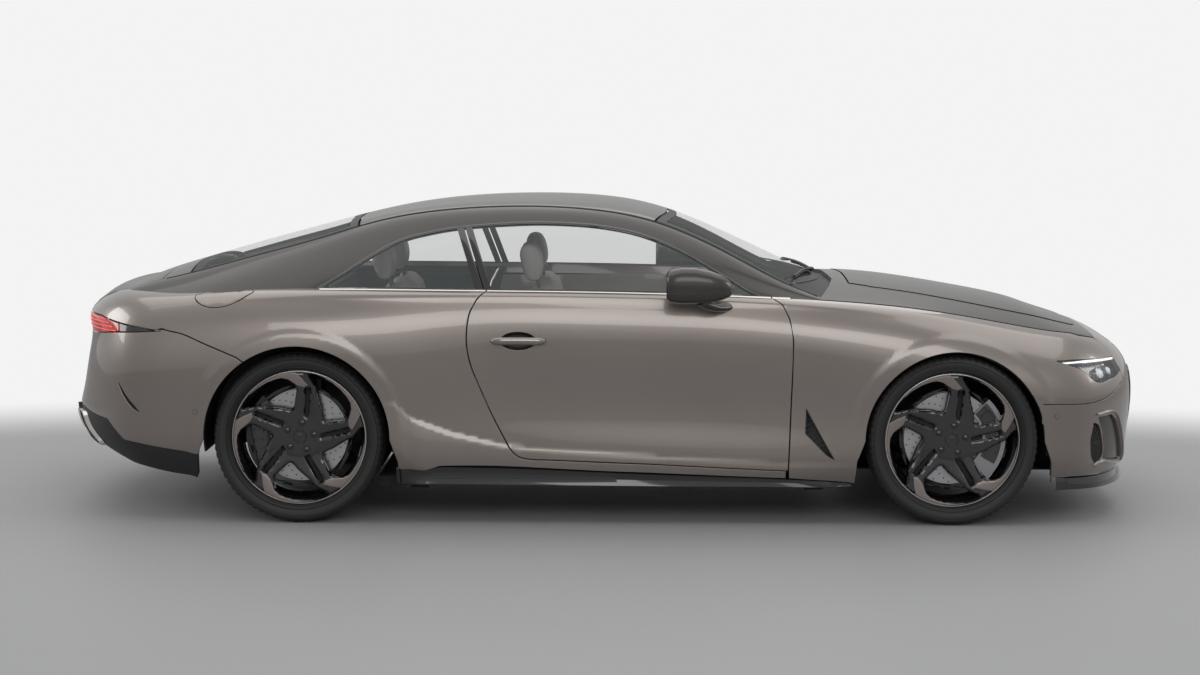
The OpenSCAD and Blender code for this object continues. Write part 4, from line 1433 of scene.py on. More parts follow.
    def _cabin_side(self) -> None:
        """The roof rail, the windscreen pillar and the rear pillar in one."""
        h, c = self.hull, self.hull.cabin
        window = c.find(curve(h.WINDOW, 3) + [(0.72, 0.90), (-1.22, 0.90)], Side.SIDE)
        whole = np.concatenate([h.along(c, 0.0, -2.20, 1.06, 40), h.along(c, 3.0, 1.06, -2.22, 60)])
        loops = cut([whole], [window])
        both("roof_rail", c.panel(loops[0], loops[1:], depth=0.02), [Paintbox.UPPER], "root", "roof_paint",
             smooth=PANEL_SMOOTH)

    def _roof(self) -> None:
        """The roof panel and the deck behind the rear window."""
        h, c = self.hull, self.hull.cabin
        front = c.find([(0.285 - 0.085 * (y / 0.7) ** 2, y) for y in np.linspace(0, 0.66, 8)], Side.TOP)
        rear = c.find([(-1.13 + 0.035 * (y / 0.7) ** 2, y) for y in np.linspace(0.62, 0, 8)], Side.TOP)
        middle = c.v_knots[-1]
        loop = np.concatenate([[(rear[-1, 0], middle)], rear[::-1], h.along(c, 3.0, -1.10, 0.20, 30),
                               front[::-1], [(front[0, 0], middle)]])
        roof = cut([loop, h.box(0, c.u_knots[-1], h.ditch, middle)])[0]
        half = c.panel(roof, depth=0.02)
        skin = piece("roof_skin", half.joined(half.mirrored()), [Paintbox.UPPER], "root")
        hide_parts("roof")
        deck = c.find([(-1.885 + 0.030 * (y / 0.7) ** 2, y) for y in np.linspace(0, 0.66, 8)], Side.TOP)
        shut = c.find([(-1.9885, 0.0), (-1.9885, 0.57)], Side.TOP)
        loop = np.concatenate([[(shut[0, 0], middle), (shut[0, 0], h.ditch),
                                (deck[-1, 0], h.ditch)], deck[::-1],
                               [(deck[0, 0], middle)]])
        half = c.panel(cut([loop])[0], depth=0.02)
        skin = piece("rear_deck_skin", half.joined(half.mirrored()), [Paintbox.UPPER], "root")
        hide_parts("rear_deck")

    def _boot(self) -> None:
        """The boot lid: its top, cut from the cabin, and its tail."""
        h, b, c = self.hull, self.hull.body, self.hull.cabin
        middle = c.v_knots[-1]
        front, back = c.find([(-1.9885, 0.0), (-2.30, 0.0)], Side.TOP)[:, 0]
        half = c.panel(h.box(back, front, h.ditch, middle), depth=0.02)
        top = piece("boot_top", half.joined(half.mirrored()), [Paintbox.UPPER], "boot_lid")
        half = b.panel(cut([self.boot_tail])[0], depth=0.02)
        piece("boot_tail", half.joined(half.mirrored()), [Paintbox.UPPER], "boot_lid")
        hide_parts("boot_lid")


@dataclass
class Wheel:
    """One wheel: tyre, rim, bolts and disc, drawn on the right side round the origin.

    Attributes:
        width: the tyre's width.
        radius: the tyre's radius.
        lip: radius of the rim's lip.
        spokes: number of twin-bladed spokes.
        first: angle of the first spoke's bronze insert, in degrees.
    """

    width: float
    radius: float = 0.372
    lip: float = 0.2965
    spokes: int = 5
    first: float = 92.0

    # Openings, slots and inserts of the rim's face for a spoke at angle 0: radius and angle
    OPENING = [(0.1227, 16.1), (0.128, 10.5), (0.140, 7.8), (0.200, 1.6), (0.217, 1.2), (0.232, 4.0),
               (0.259, 9.2),
               (0.270, 14.5), (0.272, 20), (0.275, 30), (0.279, 40), (0.283, 50), (0.2845, 58), (0.280, 61),
               (0.272, 60.5), (0.2348, 52.3), (0.1928, 46), (0.150, 31.5), (0.133, 24.0)]
    SLOT = [(0.222, -14.4), (0.218, -9.0), (0.140, -11.6), (0.092, -14.5), (0.0905, -24.5), (0.154, -18.0)]
    INSERT = [(0.2215, -7.6), (0.2325, -11.6), (0.262, -4.2), (0.2845, 0.8), (0.2875, 3), (0.2885, 7.5),
              (0.2890, 16),
              (0.2892, 26), (0.2893, 36), (0.2894, 46), (0.2894, 58), (0.2875, 58), (0.2850, 48),
              (0.2815, 38),
              (0.2780, 28), (0.2745, 20), (0.2715, 14.2), (0.259, 8.4), (0.2265, -1.0)]

    def tyre(self) -> Shape:
        """The tyre, with grooves round its tread and blocks on its shoulders."""
        w, r = self.width / 2, self.radius
        half = [(0.795, 0.76), (0.803, 0.84), (0.815, 0.88), (0.835, 0.93), (0.842, 0.925), (0.849, 0.955),
                (0.88, 0.99), (0.905, 1.0), (0.925, 0.995), (0.930, 0.975), (0.937, 0.985), (0.955, 0.965),
                (0.975, 0.915), (0.988, 0.85), (0.9935, 0.78), (0.9965, 0.70), (0.998, 0.62), (0.977, 0.60),
                (0.977, 0.55), (0.999, 0.53), (1.0, 0.24), (0.978, 0.22), (0.978, 0.15), (1.0, 0.13)]
        profile = [(r * a, w * b) for a, b in half] + [(r * a, -w * b) for a, b in reversed(half)]
        shape = lathe(profile, 216)
        n = len(profile)
        shoulder = {j for j, (a, _) in enumerate(half) if 11 <= j <= 15}
        shoulder |= {n - 1 - j for j in shoulder}
        for i, p in enumerate(shape.points):
            if i % n in shoulder and (i // n) % 3 == 0:
                shape.points[i] = (p[0] * 0.988, p[1], p[2] * 0.988)
        shape.faces = [f[::-1] for f in shape.faces]
        return shape

    def _face_height(self, p: np.ndarray) -> np.ndarray:
        """Outward offset of the rim's face: dished at the hub, proud at the lip."""
        r = np.hypot(p[:, 0], p[:, 1])
        t = np.clip((r - 0.06) / 0.225, 0, 1)
        return self.width * 0.37 - 0.030 + 0.024 * t * t * (3 - 2 * t)

    def rim(self) -> Shape:
        """The rim: barrel, lip, face, inserts, bolts and cap, by material number."""
        edge = self.width * 0.37
        barrel = lathe([(0.2865, edge - 0.004), (0.280, edge - 0.014), (0.268, edge - 0.040), (0.256, 0.0),
                        (0.268, -edge + 0.03), (0.290, -edge + 0.008), (0.294, -edge), (0.2975, -edge)], 144)
        lip = lathe([(0.2865, edge - 0.004), (0.2885, edge - 0.0005), (0.2925, edge),
                     (self.lip, edge - 0.002),
                     (0.2972, edge - 0.008)], 144)
        turns = [self.first + 72 * k for k in range(self.spokes)]
        circle = polar([(0.2885, a) for a in range(0, 360, 3)])
        holes = [tidied(polar(self.OPENING, t)) for t in turns] + [polar(self.SLOT, t) for t in turns]
        face = slab(circle, holes, self._face_height, edge - 0.052, 0.0085, 0.011, 0.0075)
        # A black plate just behind the spokes shows through the openings and the slots: painted shade for the
        # wheel's depths, not a part of its own colour.
        deep = slab(polar([(0.225, a) for a in range(0, 360, 6)]),
                    [tidied(polar([(r * (0.985 if r > 0.2 else 1.03), a) for r, a in self.OPENING
                                   if r < 0.235], t)) for t in turns],
                    lambda p: np.full(len(p), edge - 0.056), edge - 0.075, 0.02)
        parts: list = [(barrel, 0), (lip, 1), (face, 0), (deep, 3)]
        for t in turns:
            parts.append((slab(polar(self.INSERT, t), [], lambda p: self._face_height(p)
                               + 0.0012, edge - 0.03,
                               0.006, 0.0025, 0.001), 2))
            bolt = polar([(0.0625, t - 11.0)])[0]
            # Each bolt sits in a black recess: painted shade in the hollow round the bolt. The dome over it
            # keeps the rim's own colour.
            for radius, height, slot in ((0.0175, -0.004, 3), (0.0125, 0.006, 0)):
                dome = [(radius * math.cos(a), height * math.sin(a) + edge - 0.0285) for a in
                        np.linspace(0, math.pi / 2, 6)]
                turned = lathe([(dome[0][0], edge - 0.045)] + dome if height > 0 else
                               [(radius, edge - 0.0285), (radius * 0.8, edge - 0.036),
                                (0.0001, edge - 0.036)], 20)
                parts.append((placed(turned, Matrix.Translation((bolt[0], 0, bolt[1]))), slot))
        cap = lathe([(0.029, edge - 0.034), (0.029, edge - 0.0265), (0.0265, edge - 0.024),
                     (0.0245, edge - 0.0245),
                     (0.014, edge - 0.0215), (0.0001, edge - 0.021)], 48)
        parts.append((cap, 0))
        whole = gathered(parts)
        whole.faces = [f for f in whole.faces]
        return whole

    def disc(self) -> Shape:
        """The brake disc and its bell, with black dots of painted shade for its drilled holes."""
        face = [(0.0001, 0.053), (0.072, 0.053), (0.082, 0.050), (0.084, 0.026), (0.125, 0.025),
                (0.203, 0.025),
                (0.205, 0.023), (0.205, 0.016), (0.196, 0.015), (0.196, 0.0), (0.205, -0.001),
                (0.205, -0.007),
                (0.203, -0.008), (0.0, -0.008)]
        disc = lathe([(r, w) for r, w in face if r > 0], 96)
        # Black dots just proud of the disc's face stand for its drilled holes: painted shade, as the holes
        # are not cut.
        holes = []
        for row in range(5):
            for k in range(18):
                a = 20 * k + row * 7.3
                spot = polar([(0.136 + 0.0145 * row, a)])[0]
                ring = lathe([(0.0034, 0.0254), (0.0001, 0.0254)], 10)
                holes.append((placed(ring, Matrix.Translation((spot[0], 0, spot[1]))), 1))
        return gathered([(disc, 0), *holes])

    def build(self, name: str, body: str, at: Sequence[float], left: bool) -> None:
        """Builds the wheel's three pieces.

        Args:
            name: end of the CAD nodes' names.
            body: the body it rides on.
            at: its centre.
            left: whether it is on the car's left.
        """
        for kind, shape, finishes, slot, smooth in (
                ("tyre", self.tyre(), [Paintbox.TYRE], "tyre", 32.0),
                ("rim", self.rim(), [Paintbox.RIM, Paintbox.RIM_BRIGHT, Paintbox.RIM_BRONZE,
                                     Paintbox.BLACK], "rim",
                 38.0),
                ("disc", self.disc(), [Paintbox.DISC, Paintbox.BLACK], "brake_iron", 30.0)):
            turned = shape.mirrored() if left else shape
            made = piece(f"{kind}_dressed_{name}", placed(turned, Matrix.Translation(at)), finishes, body,
                         smooth)
            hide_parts(f"{kind}_{name}")


@dataclass
class RunningGear:
    """The four wheels with their callipers and arch linings.

    Attributes:
        hull: the body's surfaces, for the arches.
        calliper: inner and outer radius of a calliper.
    """

    hull: Hull
    calliper: Point2 = (0.146, 0.243)

    def build(self) -> None:
        """Builds all four corners."""
        for end in ("front", "rear"):
            for side in ("left", "right"):
                low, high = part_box(f"tyre_{end}_{side}")
                middle = (low + high) / 2
                name = f"{end}_{side}"
                Wheel(high.y - low.y).build(name, f"wheel_{name}", middle, side == "left")
                self._calliper(name, end, side, middle)
        self._linings()

    def _calliper(self, name: str, end: str, side: str, middle: Vector) -> None:
        """One gloss black calliper with ribs over the disc's edge."""
        inner, outer = self.calliper
        mid, half = (8.0, 38.0) if end == "front" else (172.0, 38.0)
        section = [(inner, 0.030), (inner, 0.046), (inner + 0.01, 0.050), (outer - 0.03, 0.050),
                   (outer - 0.006, 0.044),
                   (outer, 0.030), (outer, -0.028), (outer - 0.006, -0.034), (inner + 0.03, -0.034)]
        body = lathe(section, 120, False, mid - half, 2 * half)
        rings = len(section)
        last = len(body.points) - rings
        body.add([], [])
        body.faces += [tuple(range(rings)), tuple(last + j for j in range(rings))[::-1]]
        body.slots += [0, 0]
        ribs = []
        for k in range(5):
            a = mid - half * 0.7 + half * 0.35 * k
            rib = lathe([(inner + 0.016, 0.048), (inner + 0.02, 0.054), (outer - 0.038, 0.054),
                         (outer - 0.032, 0.048)], 240, False, a, 3.0)
            ribs.append(rib)
        shape = gathered([body, *ribs])
        if side == "left":
            shape = shape.mirrored()
        rides = f"knuckle_{side}" if end == "front" else "root"
        piece(f"calliper_{name}", placed(shape, Matrix.Translation(middle)), [Paintbox.CALIPER], rides,
              30.0)

    def _linings(self) -> None:
        """A black return behind the edge of each arch, reaching in to the housing."""
        h = self.hull
        for end, centre, radius in (("front", h.front_axle, h.front_arch),
                                    ("rear", h.rear_axle, h.rear_arch)):
            mouth = h.arch_outline(centre, radius + 0.004)[:-2]
            edge = h.body.point(h.body.unchart(mouth))
            rows = []
            for inward, grow in ((0.004, 0.0), (0.03, 0.006), (0.075, 0.02), (0.11, 0.03)):
                row = edge.copy()
                out = row[:, [0, 2]] - np.array(centre)
                out /= np.linalg.norm(out, axis=1, keepdims=True)
                row[:, [0, 2]] += out * grow
                row[:, 1] -= inward
                rows.append(row)
            grid = np.stack(rows, axis=1)
            m = len(rows)
            faces = quads(len(edge), m)
            shape = Shape().add([tuple(p) for r in grid for p in r], faces)
            for side, each in (("left", shape), ("right", shape.mirrored())):
                piece(f"arch_lining_{end}_{side}", each, [Paintbox.BLACK], "root", 60.0)


@dataclass
class Glazing:
    """The windows, their black borders and the mouldings round them.

    Attributes:
        hull: the surfaces.
        border: width of the black border printed on the glass.
        pillar: x of the rear edge of the door glass at its foot and its top.
    """

    hull: Hull
    border: float = 0.045
    pillar: Point2 = (-0.529, -0.630)

    def build(self) -> None:
        """Builds every window and moulding."""
        self._screens()
        self._side_windows()
        self._mouldings()

    def _screens(self) -> None:
        """The windscreen and the rear window, each with a black border."""
        h, c = self.hull, self.hull.cabin
        middle = c.v_knots[-1]
        ys = np.linspace(0, 0.76, 10)
        header = c.find([(0.290 - 0.085 * (y / 0.7) ** 2, y) for y in ys if y < 0.68], Side.TOP)
        base = c.find([(1.000 - 0.20 * (y / 0.76) ** 2.2, y) for y in ys], Side.TOP)
        whole = np.concatenate([[(header[0, 0], middle)], header, [(header[-1, 0], h.ditch)],
                                [(base[-1, 0], h.ditch)], base[::-1], [(base[0, 0], middle)]])
        self._screen("windscreen", whole)
        top = c.find([(-1.137 + 0.035 * (y / 0.7) ** 2, y) for y in ys if y < 0.62], Side.TOP)
        foot = c.find([(-1.878 + 0.030 * (y / 0.7) ** 2, y) for y in ys if y < 0.66], Side.TOP)
        whole = np.concatenate([[(foot[0, 0], middle)], foot, [(foot[-1, 0], h.ditch)],
                                [(top[-1, 0], h.ditch)],
                                top[::-1], [(top[0, 0], middle)]])
        self._screen("rear_window", whole)

    def _screen(self, name: str, outline: np.ndarray) -> None:
        """One screen: its glass and its border.

        Args:
            name: the CAD node's name.
            outline: its outline in the cabin's chart.
        """
        c = self.hull.cabin
        loop = cut([outline])[0]
        middle = c.v_knots[-1]
        loop = resampled(loop, 0.03)
        area = np.sum(loop[:, 0] * np.roll(loop[:, 1], -1) - loop[:, 1] * np.roll(loop[:, 0], -1))
        loop = loop if area > 0 else loop[::-1]
        on_middle = (loop[:, 1] > middle - 1e-6) & (np.roll(loop, -1, axis=0)[:, 1] > middle - 1e-6)
        inner = inset(loop, np.where(on_middle, 0, self.border))
        glass = c.panel(inner, depth=0, gap=0, step=0.05)
        made = piece(f"{name}_glass", glass.joined(glass.mirrored()), [Paintbox.GLASS], "root")
        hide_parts(name)
        ring = c.panel(cut([loop], [inner])[0], depth=0.006, gap=0.002, step=0.03)
        piece(f"{name}_border", ring.joined(ring.mirrored()), [Paintbox.BLACK], "root")

    def _side_windows(self) -> None:
        """Door glass and rear side glass, with the slim pillar between them."""
        h, c = self.hull, self.hull.cabin
        foot, top = self.pillar
        window = curve(h.WINDOW, 3) + [(0.74, 0.96), (-1.235, 0.96)]
        outline = c.find(window, Side.SIDE)
        across = self._clear(foot, top)
        glass = c.panel(cut([outline, across[0]])[0], depth=0, gap=0.004, step=0.04, rise=-0.004)
        both("door_window", glass, [Paintbox.GLASS], "door", "glass", "door_glass")
        glass = c.panel(cut([outline, across[1]])[0], depth=0, gap=0.004, step=0.04, rise=-0.004)
        both("rear_side_window", glass, [Paintbox.GLASS], "root", "glass")
        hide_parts("quarter_windows")
        for name, lean, body in (("door_glass_edge", 0.0185, "door"), ("pillar_strip", -0.0185, "root")):
            path = c.find([(foot + lean + (top - foot) * t, 1.000 + 0.287 * t)
                           for t in np.linspace(0, 1, 12)],
                          Side.SIDE)
            strip = bead(c, path, 0.030, 0.003, -0.002)
            both(name, strip, [Paintbox.GLOSS_BLACK], body, "gloss_black")

    def _clear(self, foot: float, top: float) -> list[np.ndarray]:
        """The halves of the cabin's chart ahead of and behind the pillar.

        Args:
            foot: x of the pillar's foot.
            top: x of its top.

        Returns:
            The front and rear outlines.
        """
        c = self.hull.cabin
        low, high = c.find([(foot, 0.99), (top, 1.29)], Side.SIDE)
        slope = (high[0] - low[0]) / (high[1] - low[1])
        ends = [low[0] + slope * (v - low[1]) for v in (-0.05, 0.6)]
        halves = []
        for shift, far in ((0.017, c.u_knots[-1]), (-0.017, 0.0)):
            halves.append(np.array([(ends[0] + shift, -0.05), (far, -0.05), (far, 0.6),
                                    (ends[1] + shift, 0.6)]))
        return halves

    def _mouldings(self) -> None:
        """The bright belt, the dark window frame and the roof's gutter line."""
        h, b, c = self.hull, self.hull.body, self.hull.cabin
        for name, start, end, body in (("belt_door", 0.716, -0.520, "door"),
                                       ("belt_quarter", -0.527, -1.252, "root"),
                                       ("belt_wing", 0.80, 0.722, "root")):
            strip = bead(b, h.along(b, 6.93, start, end, 50), 0.011, 0.004, 0.0005)
            both(name, strip, [Paintbox.BRIGHT], body, "body_paint")
            if name != "belt_wing":
                seal = bead(b, h.along(b, 7.04, start, end, 50), 0.016, 0.004, 0.0)
                both(f"{name}_seal", seal, [Paintbox.GROMMET], body, "black_trim")
        frame_line = c.find(curve([(-1.262, 1.018)] + h.WINDOW[1:-1] + [(0.695, 0.985)], 6), Side.SIDE)
        both("window_frame", bead(c, frame_line, 0.020, 0.004, -0.003), [Paintbox.GLOSS_BLACK], "root",
                   "gloss_black")
        path = h.along(c, 2.93, 0.93, -1.97, 120)
        both("roof_gutter", bead(c, path, 0.009, 0.0035, -0.001), [Paintbox.GROMMET], "root", "black_trim")


@dataclass
class Lamps:
    """Head lamps and tail lamps.

    Attributes:
        hull: the surfaces.
        coach: the panels' outlines.
    """

    hull: Hull
    coach: Coachwork

    def build(self) -> None:
        """Builds the lamps."""
        self._head()
        self._tail()

    def _head(self) -> None:
        """A clear teardrop lens, a dark bowl, two projectors and the white bar along the top."""
        h, b = self.hull, self.hull.body
        outline = self.coach.headlamp
        lens = b.panel(cut([outline])[0], depth=0, gap=0.003, step=0.012, rise=-0.001)
        both("headlamp_lens", lens, [Paintbox.LAMP_GLASS], "root", "lamp_glass")
        bowl = b.panel(cut([outline])[0], depth=0, gap=0.002, step=0.015, rise=-0.045)
        walls = b.panel(cut([outline])[0], depth=0.048, gap=0.001, lip=0.001, step=0.02, rise=-0.003)
        walls.faces = [f for f in walls.faces if len(f) == 4]
        walls.slots = [0] * len(walls.faces)
        both("headlamp_bowl", bowl, [Paintbox.GLOSS_BLACK], "root", "lamp_glass")
        both("headlamp_walls", walls, [Paintbox.GLOSS_BLACK], "root", "lamp_glass")
        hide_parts("headlamps")
        bar = h.side([(x, 0.7165 - 0.006 * ((x - 2.12) / 0.16) ** 2) for x in np.linspace(1.985, 2.292, 24)])
        both("headlamp_bar", bead(b, bar, 0.011, 0.006, -0.010), [Paintbox.LIGHT_BAR], "root", "lamp_glass")
        for k, (x, z, r) in enumerate(((2.195, 0.664, 0.028), (2.250, 0.668, 0.022))):
            spot = h.side([(x, z)])
            n = b._normals(b.unchart(spot), b.point)[0]
            at = b.point(b.unchart(spot))[0] - n * 0.030
            turn = Vector((n[0], n[1], n[2])).to_track_quat("Y", "Z").to_matrix().to_4x4()
            rings = lathe([(r, -0.012), (r, 0.004), (r * 0.92, 0.006), (r * 0.88, 0.0)], 40).mirrored()
            eye = lathe([(r * 0.86, -0.004), (r * 0.74, 0.006), (r * 0.45, 0.012), (0.0001, 0.014)],
                        40).mirrored()
            whole = placed(gathered([(rings, 0), (eye, 1)]), Matrix.Translation(at) @ turn)
            both(f"headlamp_projector_{k}", whole, [Paintbox.BRIGHT, Paintbox.LAMP_CORE], "root",
                 "lamp_glass")

    def _tail(self) -> None:
        """A red lens at each corner, joined across the tail by a gloss black band."""
        h, b = self.hull, self.hull.body
        band = self.coach.lamp_band
        corner = h.box(b.find([(0.40, 0.84)], Side.REAR)[0, 0], h.side([(-2.135, 0.84)])[0, 0], 0, h.middle)
        inner = h.box(-0.01, b.find([(0.40, 0.84)], Side.REAR)[0, 0] - 0.002, 0, h.middle)
        outer = h.box(h.side([(-2.135, 0.84)])[0, 0] + 0.002, h.tail_to_nose, 0, h.middle)
        red = b.panel(cut([band, corner])[0], depth=0.01, gap=0.003, step=0.012, rise=-0.001)
        both("tail_lamp_lens", red, [Paintbox.RED_LENS], "root", "lamp_red")
        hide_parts("tail_lamps")
        middle = b.panel(cut([band, inner])[0], depth=0.01, gap=0.003, step=0.02, rise=-0.004)
        piece("tail_band", middle.joined(middle.mirrored()), [Paintbox.GLOSS_BLACK], "root")
        point = b.panel(cut([band, outer])[0], depth=0.01, gap=0.002, step=0.012, rise=-0.002)
        both("tail_lamp_point", point, [Paintbox.GLOSS_BLACK], "root", "lamp_red")
        for k, z in enumerate((0.826, 0.842, 0.858, 0.872)):
            path = np.concatenate([h.side([(-2.15 - 0.02 * k, z), (-2.22, z)]),
                                   b.find([(y, z) for y in np.linspace(0.66, 0.42, 10)], Side.REAR)])
            both(f"tail_lamp_bar_{k}", bead(b, path, 0.0045, 0.002, 0.0005), [Paintbox.LIT_RED], "root",
                 "lamp_red")


@dataclass
class BodyTrim:
    """Handles, mirrors, vents, grilles, blades, exhausts and the other fittings of the body.

    Attributes:
        hull: the surfaces.
        coach: the panels' outlines.
        handle: x of the handle's rear and front end, and its height.
    """

    hull: Hull
    coach: Coachwork
    handle: tuple[float, float, float] = (-0.503, -0.261, 0.803)

    def build(self) -> None:
        """Builds every fitting."""
        self._handle()
        self._mirror()
        self._vent()
        self._sills()
        self._nose()
        self._tail()
        self._cowl()

    def _on(self, points: Sequence[Point2], out: float, side: Side = Side.SIDE) -> np.ndarray:
        """Points at a height over the body, from a flat view.

        Args:
            points: the flat points.
            out: height over the surface.
            side: the view.

        Returns:
            (n, 3) points.
        """
        b = self.hull.body
        uv = b.unchart(b.find(points, side))
        return b.point(uv) + b._normals(uv, b.point) * out

    def _handle(self) -> None:
        """The oval bowl in the door's skin and the bar across it."""
        b = self.hull.body
        rings, count = [], 40
        oval = self.coach.handle_bowl
        for grow, down in ((1.0, 0.0), (0.94, 0.008), (0.80, 0.019), (0.5, 0.026), (0.02, 0.028)):
            centre = oval.mean(axis=0)
            uv = b.unchart(centre + (oval - centre) * grow)
            rings.append(b.point(uv) - b._normals(uv, b.point) * (down + 0.001))
        grid = np.concatenate(rings)
        faces = quads(len(rings), count, closed=True, down=True)
        both("handle_bowl", Shape().add([tuple(p) for p in grid], faces), [Paintbox.UPPER], "door",
             "dark_metal")
        x0, x1, z = self.handle
        t = np.linspace(-1, 1, 29)
        xs = (x0 + x1) / 2 + (x1 - x0) / 2 * t
        path = self._on([(x, z + 0.003 * (1 - (2 * abs(x + 0.382) / 0.242) ** 2)) for x in xs], 0.0)
        path[:, 1] += 0.006 + 0.020 * (1 - np.abs(t) ** 3)
        radii = 0.0165 * np.clip(1 - np.abs(t) ** 9, 0.02, 1) ** 0.5
        bar = tube(path, radii, 18, 0.62, (0, 1, 0))
        both("handle_bar", bar, [Paintbox.HANDLE], "door", "dark_metal", smooth=60.0)

    def _mirror(self) -> None:
        """The mirror's shell on its curved stalk, and its glass."""
        sections = [(0.258, 0.052, 0.058, 0.000, 0.000), (0.272, 0.066, 0.072, 0.002, 0.0),
                    (0.320, 0.070, 0.079, 0.004, 0.0),
                    (0.380, 0.068, 0.078, 0.004, 0.001), (0.440, 0.060, 0.069, 0.0, 0.001),
                    (0.490, 0.048, 0.055, -0.004, 0.0), (0.524, 0.032, 0.037, -0.010, -0.002),
                    (0.540, 0.014, 0.016, -0.016, -0.004), (0.543, 0.002, 0.002, -0.018, -0.005)]
        count, rows = 36, []
        for x, wide, high, up, out in sections:
            a = np.arange(count) * 2 * math.pi / count
            y = 1.024 + out + wide * np.sign(np.cos(a)) * np.abs(np.cos(a)) ** 0.75
            zz = 1.050 + up + high * np.sign(np.sin(a)) * np.abs(np.sin(a)) ** 0.75
            rows.append(np.stack([np.full(count, x), y, zz], axis=1))
        points = np.concatenate(rows)
        faces, slots = [], []
        for r in range(len(rows) - 1):
            for k in range(count):
                m = (k + 1) % count
                faces.append((r * count + k, r * count + m, (r + 1) * count + m, (r + 1) * count + k))
                z = rows[r][[k, m], 2].mean()
                slots.append(1 if z < 1.022 else 0)
        shape = Shape().add([tuple(p) for p in points], faces)
        shape.slots = slots
        shape.faces = [f[::-1] for f in shape.faces]
        both("mirror_shell", shape, [Paintbox.UPPER, Paintbox.GLOSS_BLACK], "door", "dark_metal", "mirror",
             smooth=50.0)
        rim_x = 0.258
        a = np.arange(count) * 2 * math.pi / count
        glass = [(rim_x + 0.003, 1.024 + 0.050 * np.sign(c) * abs(c) ** 0.75,
                  1.050 + 0.055 * np.sign(s) * abs(s) ** 0.75)
                 for c, s in zip(np.cos(a), np.sin(a))]
        both("mirror_glass", Shape().add(glass, [tuple(range(count))]), [Paintbox.MIRROR], "door", "glass")
        stalk = np.array([(0.400, 1.020, 0.985), (0.430, 1.005, 0.968), (0.462, 0.975, 0.955),
                          (0.485, 0.945, 0.950),
                          (0.500, 0.925, 0.950), (0.508, 0.905, 0.952)])
        both("mirror_stalk", tube(stalk, [0.034, 0.034, 0.032, 0.032, 0.036, 0.042], 20, 0.55, (0, 0, 1)),
             [Paintbox.UPPER], "door", "dark_metal", smooth=60.0)

    def _vent(self) -> None:
        """The louvred vent behind the front wheel."""
        b, h = self.hull.body, self.hull
        back = b.panel(cut([self.coach.vent])[0], depth=0, gap=0.001, step=0.015, rise=-0.022)
        both("vent_back", back, [Paintbox.BLACK], "root", "black_trim")
        edge = np.concatenate([self.coach.vent, self.coach.vent[:1]])
        rim_path = resampled(edge, 0.02)
        both("vent_rim", bead(b, rim_path, 0.005, 0.003, -0.003), [Paintbox.GLOSS_BLACK], "root",
             "gloss_black")
        for k in range(9):
            t = 0.10 + 0.085 * k
            x0, z0 = 0.873 + 0.121 * t, 0.504 - 0.215 * t
            low_x = max(0.8705 + max(0.0, t - 0.47) * 0.17, x0 - 0.055)
            start = (low_x, z0 - 0.024)
            path = h.side([(start[0] + (x0 - start[0]) * s, start[1] + (z0 - start[1]) * s)
                           for s in np.linspace(0.06, 0.94, 6)])
            both(f"vent_louvre_{k}", bead(b, path, 0.006, 0.010, -0.016), [Paintbox.GLOSS_BLACK], "root",
                 "gloss_black")

    def _sills(self) -> None:
        """The black blades under the doors, standing out at their lower edge."""
        b, h = self.hull.body, self.hull
        xs = np.linspace(-0.915, 1.075, 60)
        lowest = 0.168
        line = np.array(h.SILL)
        rows = []
        for share, out, down in ((0.0, -0.004, 0.002), (0.06, 0.010, 0.006), (0.30, 0.011, 0.0),
                                 (0.55, 0.016, 0.0),
                                 (0.80, 0.032, 0.0), (0.90, 0.038, 0.0), (0.985, 0.036, 0.0),
                                 (1.0, 0.024, 0.0),
                                 (1.0, -0.03, 0.0), (1.0, -0.11, 0.0)):
            top = np.interp(xs, line[:, 0], line[:, 1]) + 0.002
            z = top + (lowest - top) * share - down
            surface = b.smooth(b.unchart(b.find(list(zip(xs, np.maximum(z, lowest))), Side.SIDE)))[:, 1]
            flare = np.interp(xs, [-0.915, -0.80, 0.95, 1.075], [0.2, 1.0, 1.0, 0.3])
            rows.append(np.stack([xs, surface + (out + 0.010) * flare, z - 0.004], axis=1))
        m = len(rows)
        grid = np.stack(rows, axis=1)
        faces = quads(len(xs), m, down=True)
        faces += [tuple(range(m))[::-1], tuple((len(xs) - 1) * m + j for j in range(m))]
        shape = Shape().add([tuple(p) for r in grid for p in r], [f[::-1] for f in faces])
        both("sill_blade", shape, [Paintbox.GLOSS_BLACK], "root", "gloss_black", smooth=32.0)

